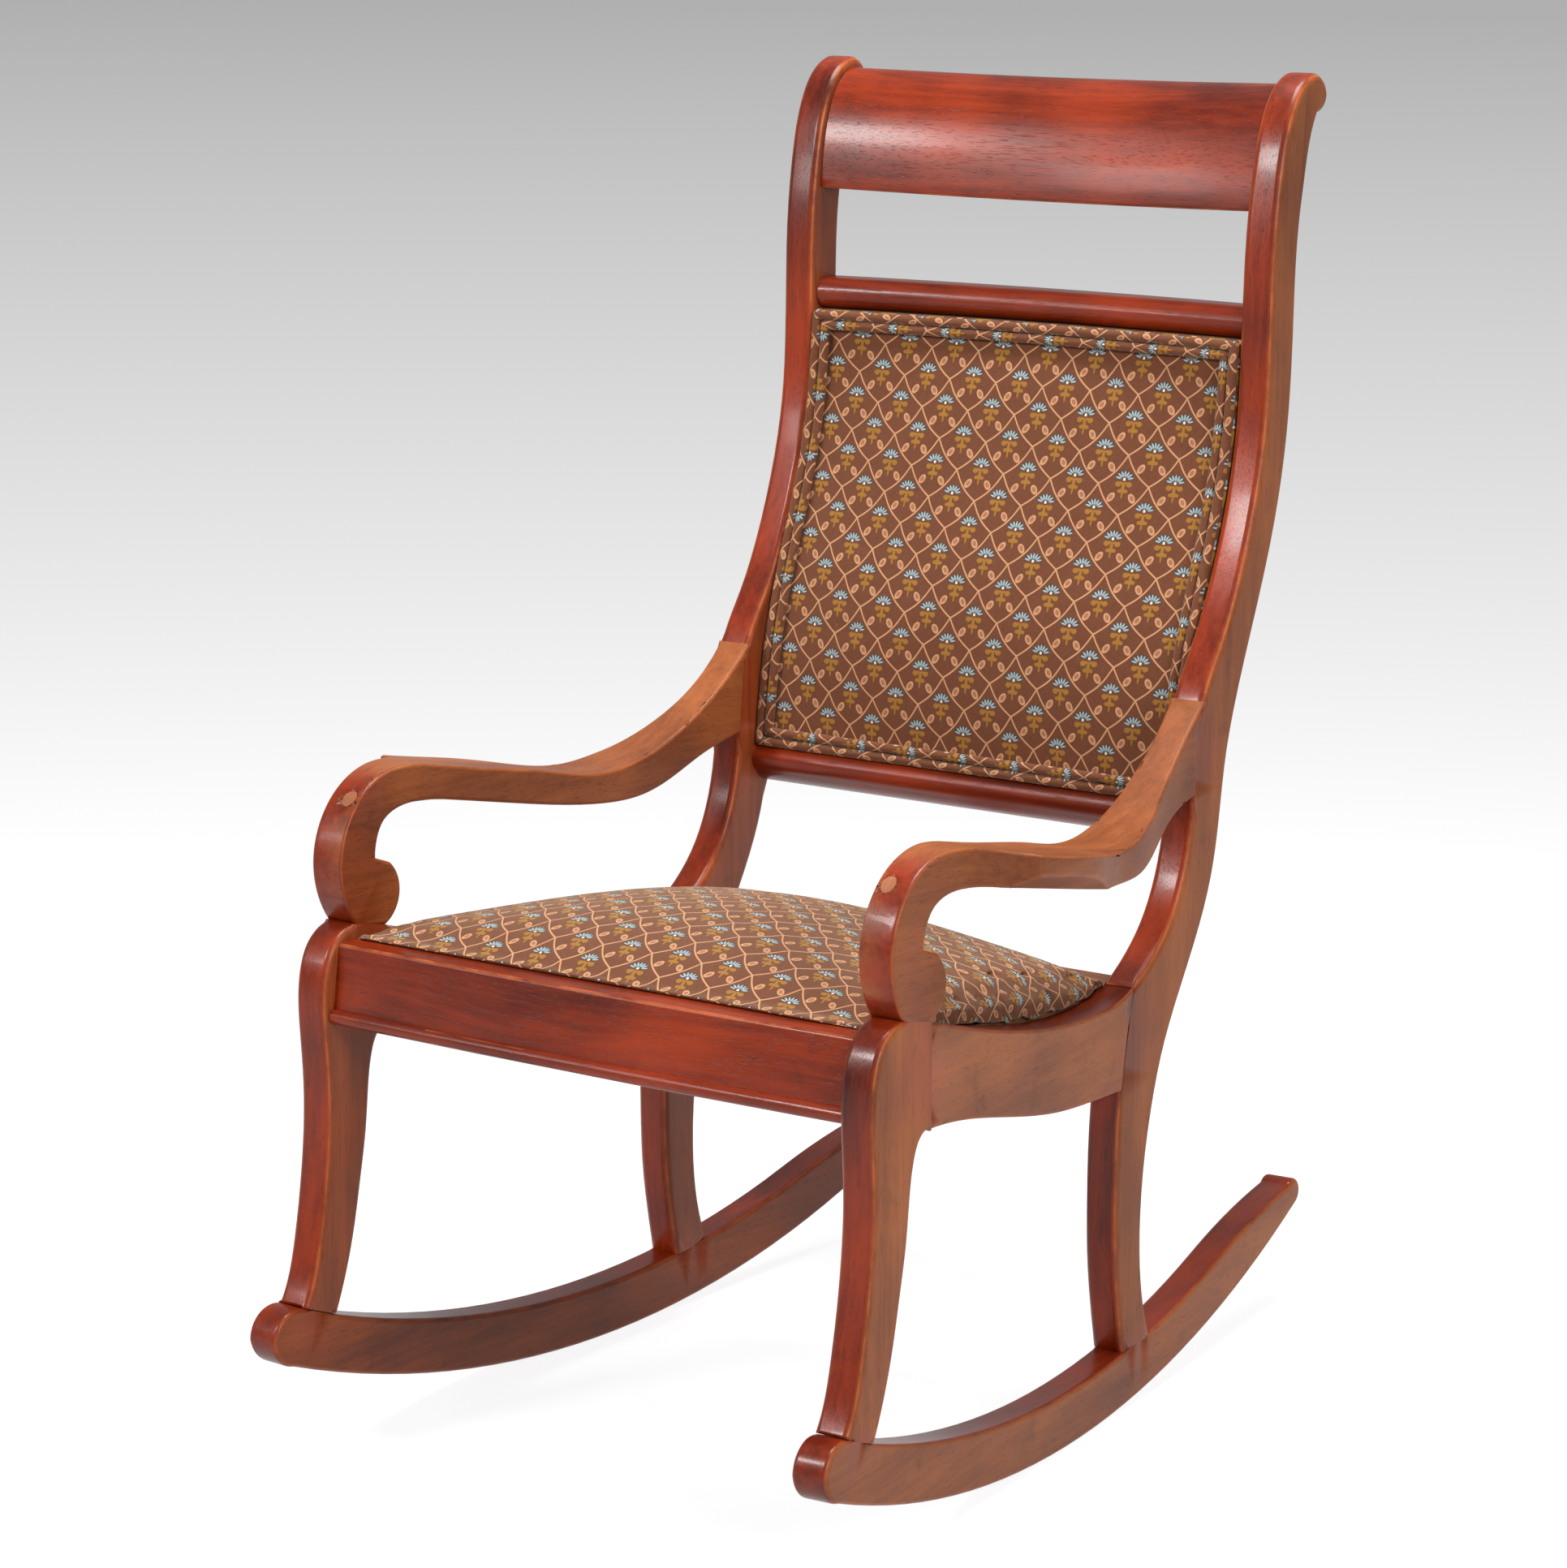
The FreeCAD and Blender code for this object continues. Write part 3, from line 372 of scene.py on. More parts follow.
@dataclass(frozen=True)
class AgedSteel(Finish):
    """Dull screws and tacks with a little rust."""

    name: str
    clean: Colour = linear(132, 126, 118)
    rust: Colour = linear(70, 42, 28)

    def material(self) -> bpy.types.Material:
        """Builds the material.

        Returns:
            The material.
        """
        g = Graph(bpy.data.materials.new(self.name))
        place = g.add("ShaderNodeTexCoord", {}, {}, "Object")
        spots = g.noise(place, 700.0, 3.0, 0.6).rise(0.5, 0.66)
        scratch = g.noise(g.stretch(place, (2600.0, 900.0, 300.0)), 1.0, 1.0)
        return g.finish(Base_Color=g.mix(spots * 0.8, self.clean, self.rust), Metallic=1.0 - spots * 0.8,
                        Roughness=0.36 + spots * 0.4 + scratch * 0.1, Normal=g.bump(scratch, 0.00008, 0.5))


@dataclass(frozen=True)
class Webbing(Finish):
    """Jute girth web, woven in a plain weave of uneven yarn."""

    name: str
    jute: Colour = linear(176, 146, 100)
    shadow: Colour = linear(128, 98, 62)

    def material(self) -> bpy.types.Material:
        """Builds the material.

        Returns:
            The material.
        """
        g = Graph(bpy.data.materials.new(self.name))
        place = g.add("ShaderNodeTexCoord", {}, {}, "Object")
        x, y, z = g.parts(place)
        warp = (x * 2400.0).sin() * (y * 2400.0 + z * 2400.0).sin()
        slub = g.noise(g.stretch(place, (500.0, 120.0, 120.0)), 1.0, 2.0)
        colour = g.mix(slub.rise(0.3, 0.75), self.shadow, self.jute)
        return g.finish(Base_Color=g.mix(warp.rise(0.0, 1.0) * 0.4, colour, tuple(c * 0.5 for c in self.jute)),
                        Roughness=0.82 + slub * 0.1, Normal=g.bump(warp * 0.4 + slub, 0.0004, 0.7))


@dataclass(frozen=True)
class LiningCloth(Finish):
    """Thin plain-woven lining under the seat."""

    name: str
    shade: Colour = linear(46, 42, 40)
    dust: Colour = linear(96, 88, 78)

    def material(self) -> bpy.types.Material:
        """Builds the material.

        Returns:
            The material.
        """
        g = Graph(bpy.data.materials.new(self.name))
        place = g.add("ShaderNodeTexCoord", {}, {}, "Object")
        x, y, _ = g.parts(place)
        weave = (x * 5200.0).sin() * (y * 5200.0).sin()
        dust = g.noise(place, 22.0, 4.0, 0.6).rise(0.42, 0.75)
        colour = g.mix(weave.rise(-0.6, 0.9), tuple(c * 0.6 for c in self.shade), self.shade)
        return g.finish(Base_Color=g.mix(dust * 0.35, colour, self.dust), Roughness=0.88 + dust * 0.08,
                        Normal=g.bump(weave * 0.5 + 0.5, 0.00012, 0.6))


@dataclass(frozen=True)
class Spot:
    """An ellipse of the woven pattern, in millimetres from the middle of its cell."""

    x: float
    y: float
    wide: float
    high: float
    turn: float = 0.0

    def reach(self, x: Sock, y: Sock) -> Sock:
        """Distance from the middle, 1 on the outline.

        Args:
            x: Place across the cell.
            y: Place up the cell.

        Returns:
            The distance in radii.
        """
        c = math.cos(math.radians(self.turn))
        s = math.sin(math.radians(self.turn))
        dx = x - self.x
        dy = y - self.y
        a = dx * (c / self.wide) + dy * (s / self.wide)
        b = dy * (c / self.high) - dx * (s / self.high)
        return (a * a + b * b).root()

    def mask(self, x: Sock, y: Sock, edge: float = 0.12) -> Sock:
        """1 inside, 0 outside."""
        return self.reach(x, y).rise(1.0 + edge, 1.0 - edge)


@dataclass(frozen=True)
class SprigCloth(Finish):
    """Woven cover: a vine trellis with a fan-shaped flower over a lobed leaf in each cell.

    The cell, its spots and vine_half are in millimetres; pinch and start are shares of a cell.
    """

    name: str
    ground: Colour = linear(122, 70, 44)
    shadow: Colour = linear(94, 52, 33)
    vine: Colour = linear(206, 152, 110)
    curl: Colour = linear(178, 120, 88)
    leaf: Colour = linear(166, 116, 38)
    petal: Colour = linear(166, 184, 188)
    outline: Colour = linear(62, 66, 66)
    eye: Colour = linear(240, 222, 200)
    cell_wide: float = 44.6
    cell_high: float = 49.4
    pinch: float = 0.078
    vine_half: float = 0.66
    start: Tuple[float, float] = (0.0, 0.0)
    petals: Tuple[Spot, ...] = (
        Spot(0.0, 9.4, 0.76, 2.5), Spot(2.2, 9.0, 0.76, 2.5, -24.0),
        Spot(4.2, 7.9, 0.76, 2.5, -49.0), Spot(5.4, 6.0, 0.72, 2.4, -76.0),
    )
    leaves: Tuple[Spot, ...] = (
        Spot(4.9, 0.7, 2.5, 2.2, 10.0), Spot(2.4, 1.6, 1.9, 1.2, -12.0), Spot(0.0, -1.2, 1.3, 3.4),
        Spot(0.0, -4.6, 2.9, 2.0), Spot(2.9, -5.0, 1.7, 1.5, 20.0), Spot(0.0, -8.2, 0.8, 3.0),
    )
    loop: Spot = Spot(9.2, -10.4, 2.2, 3.5, 34.0)

    def material(self) -> bpy.types.Material:
        """Builds the material.

        Returns:
            The material.
        """
        g = Graph(bpy.data.materials.new(self.name))
        u, v, _ = g.parts(g.add("ShaderNodeUVMap", {"uv_map": "cloth"}, {}))
        p = u * (1000.0 / self.cell_wide) + self.start[0]
        q = v * (1000.0 / self.cell_high) + self.start[1]
        rising = p - q
        falling = p + q
        first = falling + abs((rising * math.pi).sin()) * self.pinch
        second = rising - abs((falling * math.pi).sin()) * self.pinch
        span = 1.0 / math.hypot(1.0 / self.cell_wide, 1.0 / self.cell_high)
        lines = [abs((line + 0.5).fract() - 0.5) * span for line in (first, second)]
        vine = lines[0].least(lines[1]).rise(self.vine_half + 0.25, self.vine_half - 0.25)
        a = first.floor() + 0.5
        b = second.floor() + 0.5
        x = abs((p - (a + b) * 0.5) * self.cell_wide)
        y = (q - (a - b) * 0.5) * self.cell_high
        reach = self.loop.reach(x, y)
        coil = reach.rise(1.35, 1.15) * reach.rise(0.62, 0.8)
        inside = reach.rise(0.9, 0.7)
        petals = self._union(self.petals, x, y)
        halo = Spot(0.0, 6.0, 8.1, 6.3).mask(x, y, 0.08) * y.rise(4.2, 5.0)
        leaves = self._union(self.leaves, x, y)
        eye = Spot(0.0, 5.0, 1.1, 1.3).mask(x, y)
        rib = (v * 9000.0).sin() * 0.5 + 0.5
        twill = ((u + v * 0.6) * 6200.0).sin() * 0.5 + 0.5
        slub = g.noise(g.add("ShaderNodeCombineXYZ", {}, {0: u * 260.0, 1: v * 1900.0}), 1.0, 2.0)
        patch = g.noise(g.add("ShaderNodeCombineXYZ", {}, {0: u, 1: v}), 9.0, 3.0)
        colour = g.mix(slub.rise(0.3, 0.7) * 0.7 + patch * 0.3, self.shadow, self.ground)
        colour = g.mix(inside * 0.8, colour, self.curl)
        colour = g.mix(vine.most(coil), colour, self.vine)
        colour = g.mix(leaves * (0.76 + twill * 0.2), colour, self.leaf)
        colour = g.mix(halo * 0.85, colour, self.outline)
        colour = g.mix(petals, colour, self.petal)
        colour = g.mix(eye, colour, self.eye)
        colour = g.mix(rib * 0.16, colour, tuple(c * 0.4 for c in self.ground))
        raised = vine.most(coil).most(leaves).most(petals).most(eye)
        low = g.bump(rib * 0.35 + twill * 0.3 + slub * 0.35, 0.00022, 0.8)
        return g.finish(Base_Color=colour, Roughness=0.74 + slub * 0.16 - raised * 0.06,
                        Normal=g.bump(raised, 0.00028, 0.7, low), Sheen_Weight=0.3, Sheen_Roughness=0.45,
                        Sheen_Tint=(1.0, 0.88, 0.66), Specular_IOR_Level=0.22)

    def _union(self, spots: Sequence[Spot], x: Sock, y: Sock) -> Sock:
        """Joins several spots in one mask."""
        return reduce(Sock.most, [spot.mask(x, y) for spot in spots])


class Bench:
    """Where the pieces are made: the CAD nodes, and the finishes mixed so far."""

    def __init__(self, nodes: Dict[str, bpy.types.Object]) -> None:
        """Starts with the frame's nodes and no finish."""
        self.nodes = nodes
        self._mixed: Dict[str, bpy.types.Material] = {}

    def finish_of(self, finish: Finish) -> bpy.types.Material:
        """The material of a finish, made at its first use.

        Args:
            finish: The finish.

        Returns:
            The material.
        """
        if finish.name not in self._mixed:
            self._mixed[finish.name] = finish.material()
        return self._mixed[finish.name]

    def hand_over(self, piece: bpy.types.Object, finish: Finish, node: str, body: str) -> None:
        """Dresses a finished piece and puts it in the place of its CAD node.

        Args:
            piece: The piece.
            finish: Its finish.
            node: The node that it stands for.
            body: The body that carries it.
        """
        piece.data.materials.append(self.finish_of(finish))
        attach(piece, body)
        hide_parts(node)
        log.info("%s: %d faces", piece.name, len(piece.data.polygons))


def mesh_of(bm: bmesh.types.BMesh, name: str) -> bpy.types.Object:
    """Turns a bmesh into a smooth-shaded object in the scene and frees it.

    Args:
        bm: The shape.
        name: The object's name.

    Returns:
        The object.
    """
    for face in bm.faces:
        face.smooth = True
    mesh = bpy.data.meshes.new(name)
    bm.to_mesh(mesh)
    bm.free()
    piece = bpy.data.objects.new(name, mesh)
    bpy.context.scene.collection.objects.link(piece)
    return piece


def copy_of(node: bpy.types.Object) -> bmesh.types.BMesh:
    """A merged copy of a CAD node's mesh.

    Args:
        node: The node.

    Returns:
        The copy.
    """
    bm = bmesh.new()
    bm.from_mesh(node.data)
    bmesh.ops.remove_doubles(bm, verts=bm.verts, dist=MERGE)
    return bm


def tree_of(objects: Iterable[bpy.types.Object]) -> BVHTree:
    """A search tree over several objects.

    Args:
        objects: The objects, all at the origin.

    Returns:
        The tree.
    """
    points: List[Vector] = []
    faces: List[Tuple[int, ...]] = []
    for item in objects:
        base = len(points)
        points += [v.co.copy() for v in item.data.vertices]
        faces += [tuple(base + i for i in p.vertices) for p in item.data.polygons]
    return BVHTree.FromPolygons(points, faces)


def share(value: float, low: float, high: float) -> float:
    """How far a value is on its way from low to high, 0 before it and 1 past it."""
    return max(0.0, min(1.0, (value - low) / (high - low)))


def stations(low: float, high: float, margin: float) -> List[float]:
    """Even stations along a cover's middle line.

    Args:
        low: Where the cover starts.
        high: Where it ends.
        margin: What is left out at each end, as a share of the whole.

    Returns:
        The stations.
    """
    return [low + (high - low) * (margin + (1.0 - 2 * margin) * i / SAMPLES) for i in range(SAMPLES + 1)]


def cut_rows(bm: bmesh.types.BMesh, axis: int, first: float, last: float, count: int) -> None:
    """Cuts a mesh into even rows.

    Args:
        bm: The mesh.
        axis: The axis that the rows follow each other along: 0 for X, 2 for Z.
        first: Where the first row starts.
        last: Where the last row ends.
        count: The number of rows.
    """
    normal = Vector((0.0, 0.0, 0.0))
    normal[axis] = 1.0
    for i in range(1, count):
        spot = normal * (first + (last - first) * i / count)
        bmesh.ops.bisect_plane(bm, geom=bm.verts[:] + bm.edges[:] + bm.faces[:], dist=MERGE / 2,
                               plane_co=spot, plane_no=normal)


def slack(point: Vector, low: Vector, high: Vector, up: int, power: float) -> float:
    """How freely a tacked cloth hangs: 1 in its middle, 0 along its edges.

    Args:
        point: A place on the cloth.
        low: The low corner of the cloth's box.
        high: The high corner of the cloth's box.
        up: The cloth's other axis beside X.
        power: Below 1, the slack starts sooner at the edges.

    Returns:
        The share of the full slack.
    """
    s = (point.x - low.x) / (high.x - low.x)
    t = (point[up] - low[up]) / (high[up] - low[up])
    return max(0.0, math.sin(math.pi * s) * math.sin(math.pi * t)) ** power


def met_by(solid: BVHTree, starts: Iterable[Vector], towards: Vector) -> List[Vector]:
    """Where rays from a row of places first meet a solid; a ray that misses leaves nothing."""
    hits = (solid.ray_cast(start, towards)[0] for start in starts)
    return [hit for hit in hits if hit is not None]


@dataclass
class Board:
    """One piece of the polished frame, taken from its CAD node and eased along its arrises.

    A sawn board is cut anew as a plain slab, whose edges longer than stride are divided unless they
    go further than cross in X. The polish turns brown as a face turns from front_facing to
    side_facing, which are sizes of its normal along X, less so on the inner sides. It also turns
    brown behind red_before, along Y, over red_fade. Angles are in degrees.
    """

    node: str
    grain: Grain
    ease: float = 0.002
    segments: int = 3
    brown_sides: bool = True
    red_before: float = 9.0
    sawn: bool = False
    square_ends: bool = False
    inner_brown: float = 0.55
    front_facing: float = 0.5
    side_facing: float = 0.9
    red_fade: float = 0.035
    sharp: float = 28.0
    crease: float = 34.0
    seam: float = 0.0015
    proud: float = 0.0001
    stride: float = 0.016
    cross: float = 0.01
    halvings: int = 4

    def build(self, bench: Bench, seams: BVHTree) -> None:
        """Builds the eased piece and dresses it.

        Args:
            bench: The nodes and finishes.
            seams: Search tree over the neighbours, so that joints stay tight.
        """
        node = bench.nodes[self.node]
        if self.sawn:
            bm = self._slab(node)
        else:
            bm = copy_of(node)
            bmesh.ops.dissolve_limit(bm, angle_limit=math.radians(0.6), verts=bm.verts, edges=bm.edges)
        self._ease(bm, seams, tree_of([node]))
        bm.normal_update()
        shine = bm.verts.layers.float.new("shine")
        for vertex in bm.verts:
            vertex[shine] = self._shine(vertex)
        piece = mesh_of(bm, self.node + "_polished")
        piece.data.set_sharp_from_angle(angle=math.radians(self.crease))
        weighted = piece.modifiers.new("even_normals", "WEIGHTED_NORMAL")
        weighted.keep_sharp = True
        weighted.weight = 80
        polish = Polish("polish_" + self.grain.name.lower(), self.grain)
        bench.hand_over(piece, polish, self.node, "chair")

    def _slab(self, node: bpy.types.Object) -> bmesh.types.BMesh:
        """A plain slab sawn to the outline of the node's outer side, which no dowel goes through.

        Args:
            node: The CAD node, a flat board.

        Returns:
            The slab, its long arrises divided so that they bend smoothly.
        """
        bm = copy_of(node)
        bmesh.ops.dissolve_limit(bm, angle_limit=math.radians(0.3), verts=[], edges=bm.edges)
        outside = 1.0 if self.node.endswith("right") else -1.0
        side = max((f for f in bm.faces if f.normal.x * outside > 0.9), key=lambda f: f.calc_area())
        inward = -side.normal.copy()
        corner = side.verts[0].co.copy()
        thickness = max((v.co - corner).dot(inward) for v in bm.verts)
        bmesh.ops.delete(bm, geom=[f for f in bm.faces if f is not side], context="FACES")
        made = bmesh.ops.extrude_face_region(bm, geom=bm.faces[:])
        moved = [g for g in made["geom"] if isinstance(g, bmesh.types.BMVert)]
        across = Vector((thickness / inward.x, 0.0, 0.0)) if self.square_ends else inward * thickness
        bmesh.ops.translate(bm, verts=moved, vec=across)
        bmesh.ops.recalc_face_normals(bm, faces=bm.faces)
        for _ in range(self.halvings):
            along = [e for e in bm.edges if e.calc_length() > self.stride
                     and abs(e.verts[0].co.x - e.verts[1].co.x) < self.cross]
            bmesh.ops.subdivide_edges(bm, edges=along, cuts=1)
        return bm

    def _ease(self, bm: bmesh.types.BMesh, seams: BVHTree, solid: BVHTree) -> None:
        """Rounds the arrises and marks the wood that is rubbed there.

        Args:
            bm: The board.
            seams: Search tree over the neighbours.
            solid: Search tree over the board's own node, out of which nothing may stand.
        """
        worn = bm.faces.layers.float.new("worn")
        arrises = [e for e in bm.edges if self._eased(e, seams)]
        made = bmesh.ops.bevel(bm, geom=arrises, offset=self.ease, segments=self.segments, profile=0.5,
                               affect="EDGES", clamp_overlap=False, material=-1)
        for vertex in {v for f in made["faces"] for v in f.verts}:
            near, normal, _, _ = solid.find_nearest(vertex.co)
            if (vertex.co - near).dot(normal) > self.proud:
                vertex.co = near
        for face in made["faces"]:
            depth = solid.find_nearest(face.calc_center_median())[3]
            face[worn] = min(1.0, depth / (self.ease * ARRIS_DEPTH)) ** 2
        bmesh.ops.triangulate(bm, faces=[f for f in bm.faces if len(f.verts) > 4])
        bmesh.ops.dissolve_degenerate(bm, dist=MERGE, edges=bm.edges)

    def _eased(self, edge: bmesh.types.BMEdge, seams: BVHTree) -> bool:
        """Whether an arris is eased.

        Args:
            edge: The edge.
            seams: Search tree over the neighbours.

        Returns:
            True where it is sharp, convex and not in a joint.
        """
        if len(edge.link_faces) != 2 or edge.calc_face_angle_signed(0.0) < math.radians(self.sharp):
            return False
        middle = (edge.verts[0].co + edge.verts[1].co) / 2
        gap = seams.find_nearest(middle, NEARBY)[3]
        return gap is None or gap > self.seam

    def _shine(self, vertex: bmesh.types.BMVert) -> float:
        """How red and glossy the polish is.

        Args:
            vertex: A corner of the piece, with its normal.

        Returns:
            1 on the fronts, 0 on the outer sides.
        """
        side = share(abs(vertex.normal.x), self.front_facing, self.side_facing) if self.brown_sides else 0.0
        if vertex.normal.x * vertex.co.x < 0.0:
            side *= self.inner_brown
        behind = share(vertex.co.y, self.red_before, self.red_before + self.red_fade)
        return (1.0 - side) * (1.0 - behind)


@dataclass
class WoodFrame:
    """All the polished wood of the chair: boards that come in pairs, and rails."""

    boards: List[Board] = field(default_factory=lambda: [
        Board("rocker", Grain.DEPTH, ease=0.004, segments=4, sawn=True),
        Board("front_leg", Grain.UPRIGHT, ease=0.0055, segments=5, sawn=True),
        Board("back_post", Grain.UPRIGHT, ease=0.0065, segments=5, sawn=True),
        Board("side_rail", Grain.DEPTH, ease=0.003, sawn=True, square_ends=True),
        Board("arm", Grain.DEPTH, ease=0.003, segments=4, red_before=-0.292),
    ])
    rails: List[Board] = field(default_factory=lambda: [
        Board("front_rail", Grain.ACROSS, ease=0.003, brown_sides=False),
        Board("front_rail_bead", Grain.ACROSS, ease=0.001, brown_sides=False),
        Board("crest_rail", Grain.ACROSS, ease=0.003, brown_sides=False),
        Board("upper_back_rail", Grain.ACROSS, brown_sides=False),
        Board("lower_back_rail", Grain.ACROSS, brown_sides=False),
    ])

    def build(self, bench: Bench) -> None:
        """Builds every board.

        Args:
            bench: The nodes and finishes.
        """
        pairs = [replace(b, node=f"{b.node}_{side}") for b in self.boards for side in ("right", "left")]
        names = [b.node for b in pairs + self.rails] + ["arm_plugs"]
        for board in pairs + self.rails:
            board.build(bench, tree_of(bench.nodes[n] for n in names if n != board.node))


@dataclass
class Puff:
    """How far and how firmly a cover is blown up over its stuffing."""

    pressure: float
    cap: float
    frames: int = 20
    stiffness: float = 30.0
    bending: float = 2.0

    def blow(self, piece: bpy.types.Object, pinned: Sequence[int], away: Vector) -> None:
        """Runs the cloth simulation on a closed cover and keeps its result.

        Args:
            piece: The cover, a closed mesh.
            pinned: Vertices that stay where they are sewn or tacked.
            away: The direction in which the cover swells.
        """
        group = piece.vertex_groups.new(name="tacked")
        group.add(list(pinned), 1.0, "REPLACE")
        before = [v.co.copy() for v in piece.data.vertices]
        cloth = piece.modifiers.new("cover", "CLOTH")
        cloth.settings.use_pressure = True
        cloth.settings.uniform_pressure_force = self.pressure
        cloth.settings.vertex_group_mass = "tacked"
        cloth.settings.tension_stiffness = self.stiffness
        cloth.settings.compression_stiffness = self.stiffness
        cloth.settings.bending_stiffness = self.bending
        cloth.settings.effector_weights.gravity = 0.0
        cloth.collision_settings.use_collision = False
        cloth.point_cache.frame_start = 1
        cloth.point_cache.frame_end = self.frames
        scene = bpy.context.scene
        for step in range(1, self.frames + 1):
            scene.frame_set(step)
        shown = piece.evaluated_get(bpy.context.evaluated_depsgraph_get())
        after = [v.co.copy() for v in shown.data.vertices]
        piece.modifiers.remove(cloth)
        scene.frame_set(1)
        fixed = set(pinned)
        for i, (old, new) in enumerate(zip(before, after)):
            move = new - old
            if i not in fixed and move.dot(away) > -self.cap:
                piece.data.vertices[i].co = old + move.normalized() * min(move.length, self.cap)


class Lay:
    """How a place on a piece becomes a place on the flat cloth, in metres."""

    def place(self, point: Vector, middle: Vector, normal: Vector) -> Tuple[float, float]:
        """The place on the cloth.

        Args:
            point: A corner of a face.
            middle: The face's middle.
            normal: The face's normal.

        Returns:
            The places across and along the cloth.
        """
        raise NotImplementedError

    def write(self, piece: bpy.types.Object) -> None:
        """Writes a piece's UV map of the cloth.

        Args:
            piece: The piece.
        """
        layer = piece.data.uv_layers.new(name="cloth")
        for face in piece.data.polygons:
            for loop in face.loop_indices:
                point = piece.data.vertices[piece.data.loops[loop].vertex_index].co
                layer.data[loop].uv = self.place(point, face.center, face.normal)


@dataclass
class DrapedLay(Lay):
    """Cloth laid over a profile: across stays X, the other way follows the profile's length."""

    heights: List[Tuple[float, float]]
    lengths: List[float] = field(init=False)

    def __post_init__(self) -> None:
        """Adds up the profile's length."""
        self.lengths = [0.0]
        for (y0, z0), (y1, z1) in zip(self.heights[:-1], self.heights[1:]):
            self.lengths.append(self.lengths[-1] + math.hypot(y1 - y0, z1 - z0))

    def along(self, key: float) -> float:
        """Length along the profile.

        Args:
            key: A value of the profile's first coordinate.

        Returns:
            The length up to there.
        """
        keys = [k for k, _ in self.heights]
        if key <= keys[0]:
            return self.lengths[0] + key - keys[0]
        for i in range(1, len(keys)):
            if key <= keys[i]:
                t = (key - keys[i - 1]) / max(1e-9, keys[i] - keys[i - 1])
                return self.lengths[i - 1] + t * (self.lengths[i] - self.lengths[i - 1])
        return self.lengths[-1] + key - keys[-1]


@dataclass
class SeatLay(DrapedLay):
    """The seat's cover, its pattern pointing to the back; it turns down over the rim at the front and both
    sides.
    """

    rim: float = 0.001

    def place(self, point: Vector, middle: Vector, normal: Vector) -> Tuple[float, float]:
        """The place on the cloth.

        Args:
            point: A corner of a face.
            middle: The face's middle.
            normal: The face's normal.

        Returns:
            The places across and along the cloth.
        """
        down = max(0.0, self._rim_height(point.y) - point.z)
        if normal.y < -0.6:
            return (point.x, self.along(point.y) - down)
        if abs(normal.x) > 0.6:
            return (point.x + math.copysign(down, point.x), self.along(point.y))
        return (point.x, self.along(point.y))

    def _rim_height(self, y: float) -> float:
        """Height of the line where the crown turns into the side."""
        (front, low), (rear, high) = self.heights[0], self.heights[-1]
        return low - self.rim + (y - front) * (high - low) / (rear - front)


@dataclass
class BackLay(DrapedLay):
    """The back's cover, its pattern pointing up."""

    def place(self, point: Vector, middle: Vector, normal: Vector) -> Tuple[float, float]:
        """The place on the cloth."""
        return (point.x, self.along(point.z))


@dataclass
class WeltLay(Lay):
    """A strip that runs round the panel: up the right side, left along the top, down and back."""

    half: float
    low: float
    high: float
    wrap: float = 1.5

    def place(self, point: Vector, middle: Vector, normal: Vector) -> Tuple[float, float]:
        """The place on the strip.

        Args:
            point: A corner of a face.
            middle: The face's middle.
            normal: The face's normal.

        Returns:
            The places across and along the strip.
        """
        gaps = {
            "right": self.half - middle.x, "left": self.half + middle.x,
            "top": self.high - middle.z, "low": middle.z - self.low,
        }
        side = min(gaps, key=gaps.get)
        height = self.high - self.low
        if side == "right":
            return ((self.half - point.x) * self.wrap, point.z - self.low)
        if side == "top":
            return ((self.high - point.z) * self.wrap, height + self.half - point.x)
        if side == "left":
            return ((self.half + point.x) * self.wrap, height + 2 * self.half + self.high - point.z)
        return ((point.z - self.low) * self.wrap, 2 * height + 3 * self.half + point.x)


